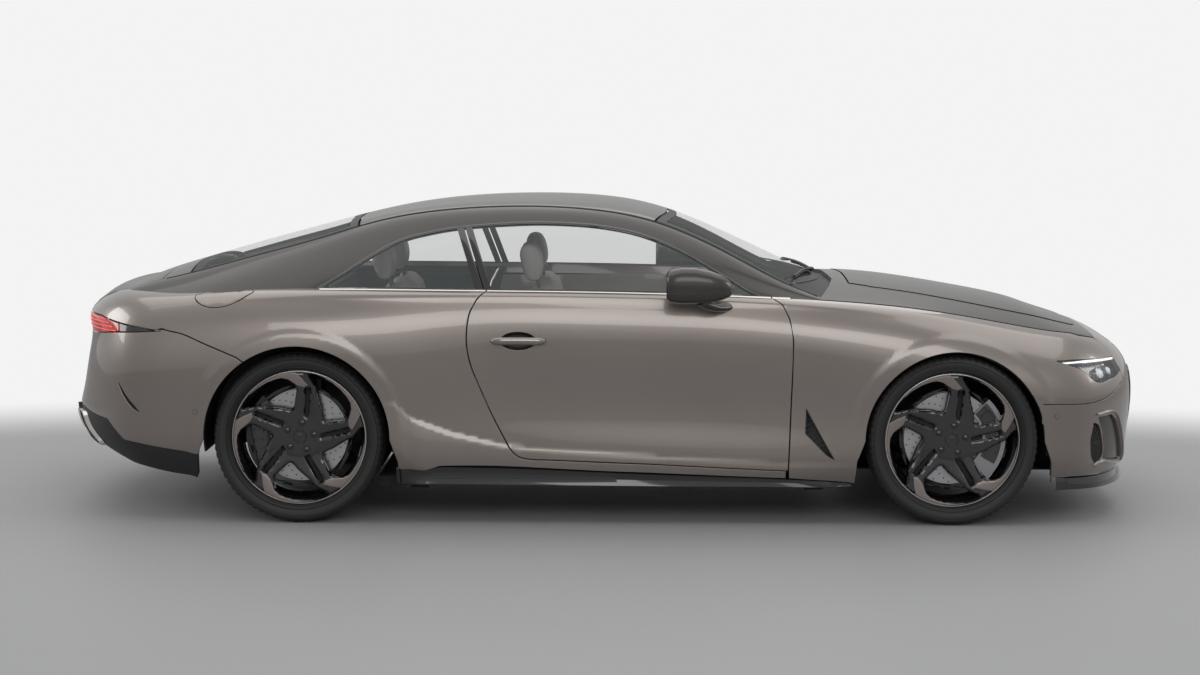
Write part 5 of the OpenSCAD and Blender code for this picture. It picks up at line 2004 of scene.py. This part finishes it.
    def _lattice(self, name: str, outline: np.ndarray, pitch: float, rise: float, per_side: bool) -> None:
        """Crossed bars behind an opening, with black behind them.

        Args:
            name: its name.
            outline: the opening's outline in the chart.
            pitch: distance between bars.
            rise: height over the surface, negative behind it.
            per_side: whether it is a piece a side, or one across the middle.
        """
        b = self.hull.body
        low, high = outline.min(0), outline.max(0)
        bars = []
        for slope in (1.0, -1.0):
            for k in np.arange(low[0] - (high[1] - low[1]), high[0] + (high[1] - low[1]), pitch):
                t = np.linspace(0, 1, 80)
                line = np.stack([k + t * (high[1] - low[1]) * slope + (0 if slope > 0 else high[1] - low[1]),
                                 low[1] + t * (high[1] - low[1])], axis=1)
                inside = in_polygon(line, outline) & (line[:, 0] <= self.hull.tail_to_nose + 1e-9)
                if inside.sum() > 3:
                    first = np.argmax(inside)
                    run = line[first:first + int(inside[first:].argmin() or inside[first:].sum())]
                    if len(run) > 3:
                        bars.append(bead(b, run[::4] if len(run) > 12 else run, 0.0055, 0.006, rise))
        shape = gathered(bars)
        back = b.panel(cut([outline])[0], depth=0, gap=0.001, step=0.03, rise=rise - 0.03)
        if per_side:
            both(name, shape, [Paintbox.GLOSS_BLACK], "root", "gloss_black")
            both(f"{name}_back", back, [Paintbox.BLACK], "root", "black_trim")
            return
        whole = gathered([shape, shape.mirrored()])
        piece(name, whole, [Paintbox.DARK_CHROME], "root")
        piece(f"{name}_back", back.joined(back.mirrored()), [Paintbox.BLACK], "root")

    def _nose(self) -> None:
        """Grille, lower intake, corner meshes with their blades, splitter and sensors."""
        b, h = self.hull.body, self.hull
        self._lattice("grille_mesh", self.coach.grille, 0.042, -0.020, False)
        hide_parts("grille")
        self._lattice("intake_mesh", self.coach.intake, 0.036, -0.030, False)
        self._lattice("corner_mesh", self.coach.corner_mesh, 0.020, -0.012, True)
        frame_path = resampled(self.coach.grille[::-1], 0.02)
        frame_path = frame_path[frame_path[:, 0] < h.tail_to_nose - 0.002]
        half = bead(b, frame_path, 0.016, 0.008, -0.001)
        piece("grille_frame", gathered([half, half.mirrored()]), [Paintbox.DARK_CHROME], "root")
        # The recessed face at each front corner gets the dark upper paint in place of the body colour:
        # painted shade in the recess.
        face = b.panel(cut([self.coach.recess])[0], depth=0.01, gap=0.001, rise=-0.014)
        both("corner_face", face, [Paintbox.UPPER], "root", "body_paint")
        for name, points, width in (
                ("corner_fin", [(2.150, 0.484), (2.222, 0.491), (2.262, 0.470), (2.290, 0.415),
                                (2.316, 0.335),
                                (2.346, 0.228)], 0.012),
                ("corner_lip", [(2.150, 0.250), (2.190, 0.268), (2.250, 0.250), (2.342, 0.226)], 0.014)):
            both(name, bead(b, h.side(curve(points, 5)), width, 0.012, -0.002), [Paintbox.BODY], "root",
                 "body_paint")
        self._splitter()
        for k, (x, z) in enumerate(((1.962, 0.485), (-1.784, 0.487))):
            spot = h.side([(x, z)])[0]
            ring = spot + polar([(0.0115, a) for a in range(0, 360, 20)])
            path = np.concatenate([ring, ring[:1]])
            both(f"parking_sensor_{k}", gathered([(bead(b, path, 0.0025, 0.0015, 0.0), 1),
                                                  (b.panel(ring, depth=0, gap=0.0, step=0.02,
                                                           rise=0.0012), 0)]),
                 [Paintbox.BODY, Paintbox.GLOSS_BLACK], "root", "body_paint")

    def _splitter(self) -> None:
        """The black splitter under the nose."""
        b, h = self.hull.body, self.hull
        v = h.side([(2.0, 0.20)])[0, 1]
        start = h.side([(1.975, 0.20)])[0, 0]
        us = np.linspace(start, h.tail_to_nose, 60)
        uv = b.unchart(np.stack([us, np.full(60, v)], axis=1))
        edge = b.smooth(uv)
        n = b._normals(uv, b.smooth)
        n[:, 2] = 0
        n /= np.linalg.norm(n, axis=1, keepdims=True)
        grow = np.clip((us - start) / 0.25, 0.15, 1)[:, None]
        rows = []
        for out, z in ((-0.010, 0.206), (0.012, 0.200), (0.020, 0.180), (0.026, 0.158), (0.024, 0.150),
                       (-0.03, 0.146), (-0.14, 0.146)):
            row = edge + n * out * grow
            row[:, 2] = z
            row[-1, 1] = 0.0
            rows.append(row)
        grid = np.stack(rows, axis=1)
        m = len(rows)
        faces = quads(60, m, down=True)
        shape = Shape().add([tuple(p) for r in grid for p in r], [f[::-1] for f in faces])
        made = piece("splitter", gathered([shape, shape.mirrored()]), [Paintbox.GLOSS_BLACK], "root")
        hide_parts("lower_trim")

    def _tail(self) -> None:
        """The diffuser with its fins, the slits beside it and the exhaust tips."""
        b, h = self.hull.body, self.hull
        whole = cut([self.coach.diffuser, h.box(0, h.tail_to_nose, 0, h.middle)],
                    [self.coach.rear_mouth, self.coach.under_tail])
        low = b.panel(whole[0], depth=0.04, gap=0.002, rise=-0.004)
        piece("diffuser", low.joined(low.mirrored()), [Paintbox.BLACK], "root")
        slit = b.panel(cut([self.coach.slit])[0], depth=0, gap=0.0, step=0.015, rise=-0.010)
        both("tail_slit", slit, [Paintbox.BLACK], "root", "gloss_black")
        for k, y in enumerate((0.0, 0.12, 0.24, 0.36)):
            path = self._on([(y + 0.0001, z) for z in np.linspace(0.31, 0.45, 8)], 0.008, Side.REAR)
            fin = tube(path, 0.014, 8, 0.30, (0, 1, 0))
            if k:
                both(f"diffuser_fin_{k}", fin, [Paintbox.GLOSS_BLACK], "root", "gloss_black")
            else:
                piece("diffuser_fin_0", fin, [Paintbox.GLOSS_BLACK], "root")
        self._exhaust()

    def _exhaust(self) -> None:
        """The bright-rimmed tips on both sides."""
        outline = [(0.500, 0.440), (0.652, 0.450), (0.700, 0.390), (0.738, 0.318), (0.690, 0.305),
                   (0.545, 0.345)]
        ring = np.array(curve(outline + outline[:1], 5)[:-1])
        surface = self.hull.body
        rows = []
        centre = ring.mean(axis=0)
        for grow, out in ((1.0, -0.004), (1.0, 0.014), (0.93, 0.017), (0.90, 0.010), (0.86, -0.10)):
            flat = centre + (ring - centre) * grow
            spots = surface.smooth(surface.unchart(surface.find([tuple(p) for p in flat], Side.REAR)))
            rows.append(np.stack([spots[:, 0] - out, flat[:, 0], flat[:, 1]], axis=1))
        count = len(ring)
        faces = quads(len(rows), count, closed=True)
        faces.append(tuple((len(rows) - 1) * count + k for k in range(count)))
        shape = Shape().add([tuple(p) for row in rows for p in row], faces)
        shape.slots = [1 if i >= 3 * count else 0 for i in range(len(faces))]
        both("exhaust_tip", shape, [Paintbox.BRIGHT, Paintbox.BLACK], "root", "dark_metal", smooth=40.0)
        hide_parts("exhaust_tips")

    def _cowl(self) -> None:
        """The black scuttle under the windscreen, with its two wipers."""
        ys = np.linspace(0, 0.78, 16)
        cabin, body = self.hull.cabin, self.hull.body
        back = cabin.smooth(cabin.unchart(cabin.find([(0.985 - 0.20 * (y / 0.76) ** 2.2, y)
                                                      for y in ys], Side.TOP)))
        front = body.smooth(body.unchart(body.find(
            [(float(np.interp(y, [0, 0.30, 0.50, 0.70, 0.82], [1.055, 1.045, 1.015, 0.970, 0.940])),
              y) for y in ys],
            Side.TOP)))
        front[:, 2] -= 0.020
        back[:, 2] -= 0.002
        middle = (front + back) / 2
        middle[:, 2] -= 0.010
        grid = np.stack([back, middle, front], axis=1)
        faces = quads(len(ys), 3)
        shape = Shape().add([tuple(p) for r in grid for p in r], faces)
        made = piece("scuttle", gathered([shape, shape.mirrored()]), [Paintbox.BLACK], "root")
        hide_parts("cowl")
        for k, (y0, y1) in enumerate(((0.52, -0.06), (-0.04, -0.62))):
            t = np.linspace(0, 1, 14)
            y = y0 + (y1 - y0) * t
            spots = [(0.965 - 0.20 * (abs(v) / 0.76) ** 2.2 - 0.03 * math.sin(math.pi * s), abs(v))
                     for v, s in zip(y, t)]
            path = cabin.smooth(cabin.unchart(cabin.find(spots, Side.TOP)))
            path[:, 1] = y
            path[:, 2] += 0.016
            blade = path.copy()
            blade[:, 2] -= 0.008
            arm = tube(path, np.interp(t, [0, 0.2, 1], [0.016, 0.010, 0.006]), 8, 0.6)
            piece(f"wiper_{k}", gathered([arm, tube(blade[4:], 0.006, 6)]), [Paintbox.BLACK], "root",
                  40.0)


@dataclass
class Cabin:
    """Seats, dash, door cards and trim inside the car.

    Attributes:
        hull: the surfaces.
        seat_x: where the front seats stand.
        seat_y: distance of a front seat's middle from the middle of the car.
    """

    hull: Hull
    seat_x: float = 0.06
    seat_y: float = 0.385

    def build(self) -> None:
        """Builds the cabin."""
        self._seats()
        self._dash()
        self._helm()
        self._door_cards()
        self._linings()

    def _cushion(self, name: str, outline: Sequence[Point2], at: Sequence[float], width: float,
                 swell: float) -> None:
        """One padded cushion: a plump copy of it, with its seam lines pulled in.

        Args:
            name: its name.
            outline: its outline in side view.
            at: its place.
            width: its width.
            swell: how far it may swell.
        """
        flat = np.array(curve(list(outline) + [outline[0]], 5)[:-1])
        area = np.sum(flat[:, 0] * np.roll(flat[:, 1], -1) - flat[:, 1] * np.roll(flat[:, 0], -1))
        flat = flat if area > 0 else flat[::-1]
        count, rows = len(flat), []
        centre = flat.mean(axis=0)
        for across, grow in ((-0.5, 0.0), (-0.5, 0.90), (-0.485, 0.965), (-0.45, 1.0), (-0.27, 1.0),
                             (-0.25, 0.965),
                             (-0.23, 1.0), (0.0, 1.0), (0.23, 1.0), (0.25, 0.965), (0.27, 1.0), (0.45, 1.0),
                             (0.485, 0.965), (0.5, 0.90), (0.5, 0.0)):
            ring = centre + (flat - centre) * max(grow, 0.001)
            rows.append(np.stack([ring[:, 0] + at[0], np.full(count, across * width + at[1]),
                                  ring[:, 1] + at[2]], 1))
        faces = quads(len(rows), count, closed=True, down=True)
        shape = Shape().add([tuple(p) for row in rows for p in row], faces)
        plain = piece(name, shape, [Paintbox.HIDE], "root", 60.0)
        self._pad(plain, swell)

    @staticmethod
    def _pad(made: bpy.types.Object, swell: float) -> None:
        """Lets a closed shape swell like padded hide.

        Args:
            made: the piece.
            swell: how far a point may move.
        """
        bpy.context.view_layer.objects.active = made
        remesh = made.modifiers.new("even", "REMESH")
        remesh.mode = "VOXEL"
        remesh.voxel_size = 0.012
        bpy.ops.object.modifier_apply(modifier=remesh.name)
        before = np.array([v.co[:] for v in made.data.vertices])
        cloth = made.modifiers.new("hide", "CLOTH")
        cloth.settings.use_pressure = True
        cloth.settings.uniform_pressure_force = 4.0
        cloth.settings.effector_weights.gravity = 0.0
        scene = bpy.context.scene
        scene.frame_start, scene.frame_end = 1, 20
        for frame_number in range(1, 21):
            scene.frame_set(frame_number)
        depsgraph = bpy.context.evaluated_depsgraph_get()
        after = np.array([v.co[:] for v in made.evaluated_get(depsgraph).data.vertices])
        made.modifiers.remove(cloth)
        scene.frame_set(1)
        move = after - before
        length = np.linalg.norm(move, axis=1, keepdims=True)
        move *= np.minimum(1.0, swell / np.maximum(length, 1e-9))
        for vertex, place in zip(made.data.vertices, before + move):
            vertex.co = place
        for polygon in made.data.polygons:
            polygon.use_smooth = True

    def _seats(self) -> None:
        """Front and rear seats, each a cushion, a back, bolsters and a head restraint."""
        cushion = [(-0.19, 0.400), (0.16, 0.405), (0.25, 0.400), (0.262, 0.440), (0.20, 0.478), (0.0, 0.462),
                   (-0.16, 0.455), (-0.225, 0.44)]
        back = [(-0.235, 0.440), (-0.150, 0.460), (-0.205, 0.62), (-0.270, 0.84), (-0.318, 0.985),
                (-0.36, 1.006),
                (-0.408, 0.985), (-0.395, 0.85), (-0.33, 0.60)]
        head = [(-0.365, 1.030), (-0.352, 1.10), (-0.378, 1.182), (-0.415, 1.196), (-0.448, 1.178),
                (-0.440, 1.10),
                (-0.412, 1.030)]
        places = [("front", self.seat_x, self.seat_y, 0.50), ("rear", -0.62, 0.33, 0.44)]
        for row, x, y, width in places:
            for side, sign in (("left", 1), ("right", -1)):
                at = (x, sign * y, 0.0)
                label = f"{row}_{side}"
                self._cushion(f"seat_cushion_{label}", cushion, at, width * 0.98, 0.014)
                self._cushion(f"seat_back_{label}", back, at, width * 0.96, 0.016)
                self._cushion(f"head_restraint_{label}", head, at, 0.235, 0.010)
                base = gathered([box_shape((x - 0.23, sign * y - 0.20, 0.315),
                                           (x + 0.23, sign * y + 0.20, 0.40), 0.02)]
                                + [tube(np.array([(x - 0.362, sign * y + dy, 0.98),
                                                  (x - 0.385, sign * y + dy, 1.06)]),
                                        0.006, 10) for dy in (-0.05, 0.05)])
                piece(f"seat_base_{label}", base, [Paintbox.DARK_HIDE], "root", 40.0)
            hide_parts(f"{row}_seats")

    def _dash(self) -> None:
        """The dash, its dark top, screens and the console between the seats."""
        outline = [(0.575, 0.705), (0.585, 0.77), (0.600, 0.845), (0.625, 0.892), (0.680, 0.918),
                   (0.76, 0.926),
                   (0.895, 0.912), (0.895, 0.705)]
        ring = curve(outline, 4)
        rows = []
        for y in np.linspace(-0.695, 0.695, 25):
            bow = 0.018 * (y / 0.695) ** 2
            rows.append([(x + (0.02 - bow), y, z) for x, z in ring])
        count = len(ring)
        faces = quads(25, count, closed=True, down=True)
        slots = [1 if ring[f[0] % count][1] > 0.86 and ring[f[0] % count][0] > 0.60 else 0 for f in faces]
        shape = Shape().add([p for row in rows for p in row], faces)
        shape.slots = slots
        made = piece("dash_pad", shape, [Paintbox.HIDE, Paintbox.DARK_HIDE], "root", 40.0)
        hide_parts("dashboard")
        screen = gathered([(box_shape((0.578, -0.15, 0.80), (0.592, 0.15, 0.905), 0.004), 0),
                           (box_shape((0.586, 0.22, 0.845), (0.600, 0.52, 0.925), 0.004), 0)])
        piece("dash_screens", screen, [Paintbox.GLOSS_BLACK], "root")
        console = gathered([(box_shape((-0.25, -0.105, 0.402), (0.54, 0.105, 0.47), 0.015), 0),
                            (box_shape((-0.24, -0.095, 0.468), (0.06, 0.095, 0.478), 0.004), 1),
                            (box_shape((0.12, -0.085, 0.466), (0.50, 0.085, 0.474), 0.003), 2)])
        piece("console_top", console, [Paintbox.DARK_HIDE, Paintbox.HIDE, Paintbox.GLOSS_BLACK], "root")

    def _helm(self) -> None:
        """The steering wheel: a hide rim, three spokes and a boss."""
        turn = Matrix.Translation(Vector((0.430, 0.370, 0.850))) @ Matrix.Rotation(math.radians(-65), 4, "Y")
        a = np.linspace(0, 2 * math.pi, 61)
        rim = tube(np.stack([0.178 * np.cos(a), 0.178 * np.sin(a), 0 * a], axis=1), 0.0135, 14, 1.0,
                   (0, 0, 1))
        boss = box_shape((-0.055, -0.06, -0.02), (0.055, 0.06, 0.012), 0.012)
        spokes = [tube(np.array([(0.045 * math.cos(t), 0.045 * math.sin(t), -0.004),
                                 (0.170 * math.cos(t), 0.170 * math.sin(t), -0.002)]), 0.017, 10,
                       0.4, (0, 0, 1))
                  for t in (math.pi / 2, math.pi, 3 * math.pi / 2)]
        shape = placed(gathered([(rim, 0), (boss, 0)] + [(s, 1) for s in spokes]), turn)
        made = piece("helm", shape, [Paintbox.DARK_HIDE, Paintbox.DARK_CHROME], "steering_wheel",
                     50.0)
        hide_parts("steering_wheel")

    def _door_cards(self) -> None:
        """The trim on the inside of each door, with its armrest and pull."""
        outline = np.array(curve([(0.70, 0.965), (0.74, 0.80), (0.745, 0.34), (-0.18, 0.335), (-0.39, 0.42),
                                  (-0.52, 0.62), (-0.555, 0.80), (-0.53, 0.955)], 3))
        ring = resampled(outline, 0.04)
        area = np.sum(ring[:, 0] * np.roll(ring[:, 1], -1) - ring[:, 1] * np.roll(ring[:, 0], -1))
        ring = ring if area > 0 else ring[::-1]
        plate = slab(ring, [], lambda p: 0.008 + 0.012 * np.clip((p[:, 1] - 0.70) / 0.2, 0, 1), 0.0, 0.05,
                     0.003, 0.0)
        card = placed(plate, Matrix.Translation((0, 0.842, 0)))
        rest = box_shape((-0.36, 0.795, 0.640), (0.34, 0.838, 0.690), 0.016)
        pull = tube(np.array([(0.05, 0.812, 0.700), (0.10, 0.800, 0.745), (0.24, 0.800, 0.760),
                              (0.30, 0.812, 0.715)]),
                    0.010, 12)
        shape = gathered([(card, 0), (rest, 1), (pull, 2)])
        both("door_card", shape, [Paintbox.HIDE, Paintbox.DARK_HIDE, Paintbox.BRIGHT], "door", "leather",
             smooth=40.0)

    def _linings(self) -> None:
        """The headlining, pillar linings and the parcel shelf."""
        h, c = self.hull, self.hull.cabin
        middle = c.v_knots[-1]
        header = c.find([(0.275 - 0.085 * (y / 0.7) ** 2, y) for y in np.linspace(0, 0.62, 8)], Side.TOP)
        tail = c.find([(-1.13 + 0.035 * (y / 0.7) ** 2, y) for y in np.linspace(0.56, 0, 8)], Side.TOP)
        loop = np.concatenate([[(tail[-1, 0], middle)], tail[::-1],
                               h.along(c, 2.75, -1.10, 0.20, 30), header[::-1],
                               [(header[0, 0], middle)]])
        lining = c.panel(cut([loop])[0], depth=0, gap=0.0, step=0.06, rise=-0.032)
        whole = lining.joined(lining.mirrored())
        piece("headlining", whole, [Paintbox.LINING], "root")
        window = c.find(curve(h.WINDOW, 3) + [(0.72, 0.90), (-1.22, 0.90)], Side.SIDE)
        band = np.concatenate([h.along(c, 0.25, -1.75, 0.95, 40), h.along(c, 2.85, 0.90, -1.75, 60)])
        loops = cut([band], [window])
        inner = c.panel(loops[0], loops[1:], depth=0, gap=0.004, step=0.05, rise=-0.030)
        both("pillar_lining", inner, [Paintbox.LINING], "root", "leather")
        shelf = gathered([box_shape((-1.79, -0.59, 0.984), (-1.26, 0.59, 0.996), 0.004),
                          box_shape((-1.285, -0.75, 0.45), (-1.262, 0.75, 0.996), 0.004),
                          box_shape((-1.70, 0.585, 0.968), (-1.27, 0.745, 0.990), 0.004),
                          box_shape((-1.70, -0.745, 0.968), (-1.27, -0.585, 0.990), 0.004)])
        piece("parcel_shelf", shelf, [Paintbox.DARK_HIDE], "root")


@dataclass
class EngineBay:
    """What shows under the raised bonnet, and the finish of the hidden structure.

    Attributes:
        block: lowest and highest corner of the engine.
        front_limit: x that the dressed engine doesn't pass.
        cover_z: height of the foot of its cover.
    """

    block: tuple[Sequence[float], Sequence[float]]
    front_limit: float = 1.82
    cover_z: float = 0.765

    def build(self) -> None:
        """Dresses the engine and paints the CAD's own pieces."""
        x0, x1 = self.block[0][0], min(self.block[1][0], self.front_limit)
        cover = [(x0 + 0.03, -0.20), (x1 - 0.12, -0.20), (x1 - 0.03, -0.12), (x1 - 0.03, 0.12),
                 (x1 - 0.12, 0.20),
                 (x0 + 0.03, 0.20)]
        ring = resampled(np.array(cover), 0.05)
        top = slab(ring, [], lambda p: 0.020 + 0.022 * np.clip(1 - (p[:, 1] / 0.2) ** 2, 0, 1), 0.0, 0.04,
                   0.005, 0.0)
        turned = placed(top, Matrix(((1, 0, 0, 0), (0, 0, 1, 0), (0, -1, 0, 0), (0, 0, 0, 1))))
        parts = [(placed(turned, Matrix.Translation((0, 0, self.cover_z))), 0)]
        parts += [(box_shape((x0, -0.17, 0.38), (x1 - 0.02, 0.17, 0.66), 0.02), 1)]
        parts += [(box_shape((x0 + 0.03, s * 0.20 - 0.07, 0.56),
                             (x1 - 0.08, s * 0.20 + 0.07, 0.755), 0.025), 1)
                  for s in (-1, 1)]
        for s in (-1, 1):
            for k in range(4):
                x = x0 + 0.10 + 0.14 * k
                pipe = np.array([(x, s * 0.10, 0.775), (x, s * 0.18, 0.790), (x, s * 0.245, 0.755),
                                 (x, s * 0.262, 0.69)])
                parts.append((tube(pipe, 0.022, 12), 2))
        for k in range(6):
            y = -0.125 + 0.05 * k
            path = np.array([(x0 + 0.08, y, 0.800), ((x0 + x1) / 2, y, 0.809), (x1 - 0.16, y, 0.800)])
            parts.append((tube(path, 0.006, 8), 2))
        made = piece("engine_dressed", gathered(parts), [Paintbox.BLACK, Paintbox.ALLOY, Paintbox.CHASSIS],
                     "root",
                     40.0)
        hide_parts("engine")
        core = [(box_shape((2.205, -0.325, 0.345), (2.238, 0.325, 0.655), 0.004), 0)]
        core += [(box_shape((2.198, -0.328, z), (2.240, 0.328, z + 0.014), 0.004), 1) for z in (0.332, 0.644)]
        core += [(tube(np.array([(2.202, y, 0.35), (2.202, y, 0.65)]), 0.0035, 6), 1)
                 for y in np.arange(-0.30, 0.31, 0.03)]
        core += [(tube(np.array([(2.20, 0.20, 0.60), (2.08, 0.21, 0.64), (1.92, 0.18, 0.68),
                                 (1.80, 0.12, 0.70)]),
                       0.022, 14), 2)]
        piece("radiator_dressed", gathered(core), [Paintbox.ALLOY, Paintbox.BLACK, Paintbox.GROMMET], "root",
              40.0)
        for node, finish in (("body_tub", Paintbox.CARPET), ("wheel_arch_liners", Paintbox.BLACK),
                             ("subframes", Paintbox.CHASSIS), ("knuckle_left", Paintbox.ALLOY),
                             ("knuckle_right", Paintbox.ALLOY)):
            mesh = bpy.data.objects[node].data
            mesh.materials.clear()
            mesh.materials.append(PAINTS.of(finish))


@dataclass
class Studio:
    """The pale floor, the soft light and the camera.

    Attributes:
        floor_size: side of the floor.
        key: power of the long lamp overhead.
        side: power of the lamps at the sides.
        fade: distances at which the floor starts to fade, and is gone.
        far_share: power of the lamp on the far side, as a share of side.
        end_share: power of the lamps at the ends, as a share of side.
        lens: the camera's focal length in millimetres.
        eye: where the camera stands.
        turned: how the camera is turned, in radians.
    """

    floor_size: float = 60.0
    key: float = 150.0
    side: float = 150.0
    fade: Point2 = (2.9, 4.5)
    far_share: float = 0.6
    end_share: float = 0.7
    lens: float = 66.26
    eye: tuple[float, float, float] = (-0.0076, -10.455, 1.8125)
    turned: tuple[float, float, float] = (1.4668, -0.0048, 0.0026)

    def build(self) -> None:
        """Sets up the floor, the world, the lamps and the camera."""
        self._world()
        self._floor()
        self._lamp("overhead", (0.0, 0.0, 4.6), (0.0, 0.0, 0.0), (9.0, 5.0), self.key)
        self._lamp("near_side", (0.5, -7.5, 3.6), (0.0, 0.0, 0.8), (8.0, 2.5), self.side)
        self._lamp("far_side", (0.0, 6.5, 6.5), (0.0, 0.0, 0.8), (8.0, 3.0), self.side * self.far_share)
        self._lamp("tail_end", (-7.5, 0.0, 3.2), (0.0, 0.0, 0.8), (4.0, 2.5), self.side * self.end_share)
        self._lamp("nose_end", (7.5, 0.0, 3.2), (0.0, 0.0, 0.8), (4.0, 2.5), self.side * self.end_share)
        self._camera()
        bpy.context.scene.view_settings.view_transform = "Standard"

    def _world(self) -> None:
        """A pale backdrop for the eye, for glass and for metal, and a soft light for the rest."""
        world = bpy.data.worlds.new("studio")
        world.use_nodes = True
        bpy.context.scene.world = world
        tree = Tree(world.node_tree)
        rays = {name: tree.node("ShaderNodeLightPath", out=f"Is {name} Ray")
                for name in ("Camera", "Glossy", "Transmission")}
        seen = tree.node("ShaderNodeMath", {"operation": "MAXIMUM"},
                         {0: rays["Camera"], 1: rays["Transmission"]})
        strength = seen * 0.48 + rays["Glossy"] * 0.12 + 0.42
        light = tree.node("ShaderNodeBackground", {}, {"Color": (1, 1, 1, 1), "Strength": strength})
        tree.node("ShaderNodeOutputWorld", {}, {"Surface": light})

    def _floor(self) -> None:
        """A plain floor under the car that fades into the backdrop some way off."""
        half = self.floor_size / 2
        shape = Shape().add([(-half, -half, 0), (half, -half, 0), (half, half, 0), (-half, half, 0)],
                            [(0, 1, 2, 3)])
        mesh = bpy.data.meshes.new("floor")
        mesh.from_pydata(shape.points, [], shape.faces)
        paint = bpy.data.materials.new("floor_paint")
        paint.use_nodes = True
        tree = Tree(paint.node_tree)
        place = tree.node("ShaderNodeTexCoord", out="Object")
        apart = {axis: tree.node("ShaderNodeSeparateXYZ", {}, {"Vector": place}, axis) for axis in "XY"}
        along = apart["X"] * 0.55
        across = apart["Y"] + 1.0
        reach = tree.node("ShaderNodeMath", {"operation": "SQRT"}, {0: along * along + across * across})
        ramp = tree.node("ShaderNodeMapRange", {"interpolation_type": "SMOOTHSTEP"},
                         {"Value": reach, "From Min": self.fade[0], "From Max": self.fade[1]})
        seen = tree.node("ShaderNodeLightPath", out="Is Camera Ray")
        ground = tree.node("ShaderNodeBsdfPrincipled", {},
                           {"Base Color": (0.33, 0.332, 0.335, 1), "Roughness": 0.5})
        pale = tree.node("ShaderNodeEmission", {}, {"Color": (1, 1, 1, 1), "Strength": 0.9})
        both_of = tree.node("ShaderNodeMixShader", {}, {0: ramp * seen, 1: ground, 2: pale})
        tree.node("ShaderNodeOutputMaterial", {}, {"Surface": both_of})
        mesh.materials.append(paint)
        made = bpy.data.objects.new("floor", mesh)
        bpy.context.scene.collection.objects.link(made)

    def _lamp(self, name: str, at: Sequence[float], aim: Sequence[float], size: Point2, power: float) -> None:
        """Adds one soft rectangular lamp.

        Args:
            name: its name.
            at: where it hangs.
            aim: the point that it faces.
            size: its width and height.
            power: its power in watts.
        """
        data = bpy.data.lights.new(name, "AREA")
        data.shape = "RECTANGLE"
        data.size, data.size_y = size
        data.energy = power
        made = bpy.data.objects.new(name, data)
        made.location = at
        made.rotation_euler = (Vector(aim) - Vector(at)).to_track_quat("-Z", "Y").to_euler()
        bpy.context.scene.collection.objects.link(made)

    def _camera(self) -> None:
        """Looks at the car's right side from a standing height."""
        data = bpy.data.cameras.new("camera")
        data.lens = self.lens
        made = bpy.data.objects.new("camera", data)
        made.location = self.eye
        made.rotation_euler = self.turned
        bpy.context.scene.collection.objects.link(made)
        bpy.context.scene.camera = made


def main() -> None:
    """Builds the car, the stage and the camera."""
    logging.basicConfig(level=logging.INFO, format="%(name)s: %(message)s")
    hull = Hull()
    coach = Coachwork(hull)
    coach.build()
    RunningGear(hull).build()
    Glazing(hull).build()
    Lamps(hull, coach).build()
    BodyTrim(hull, coach).build()
    Cabin(hull).build()
    EngineBay(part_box("engine")).build()
    Studio().build()


if __name__ == "__main__":
    main()
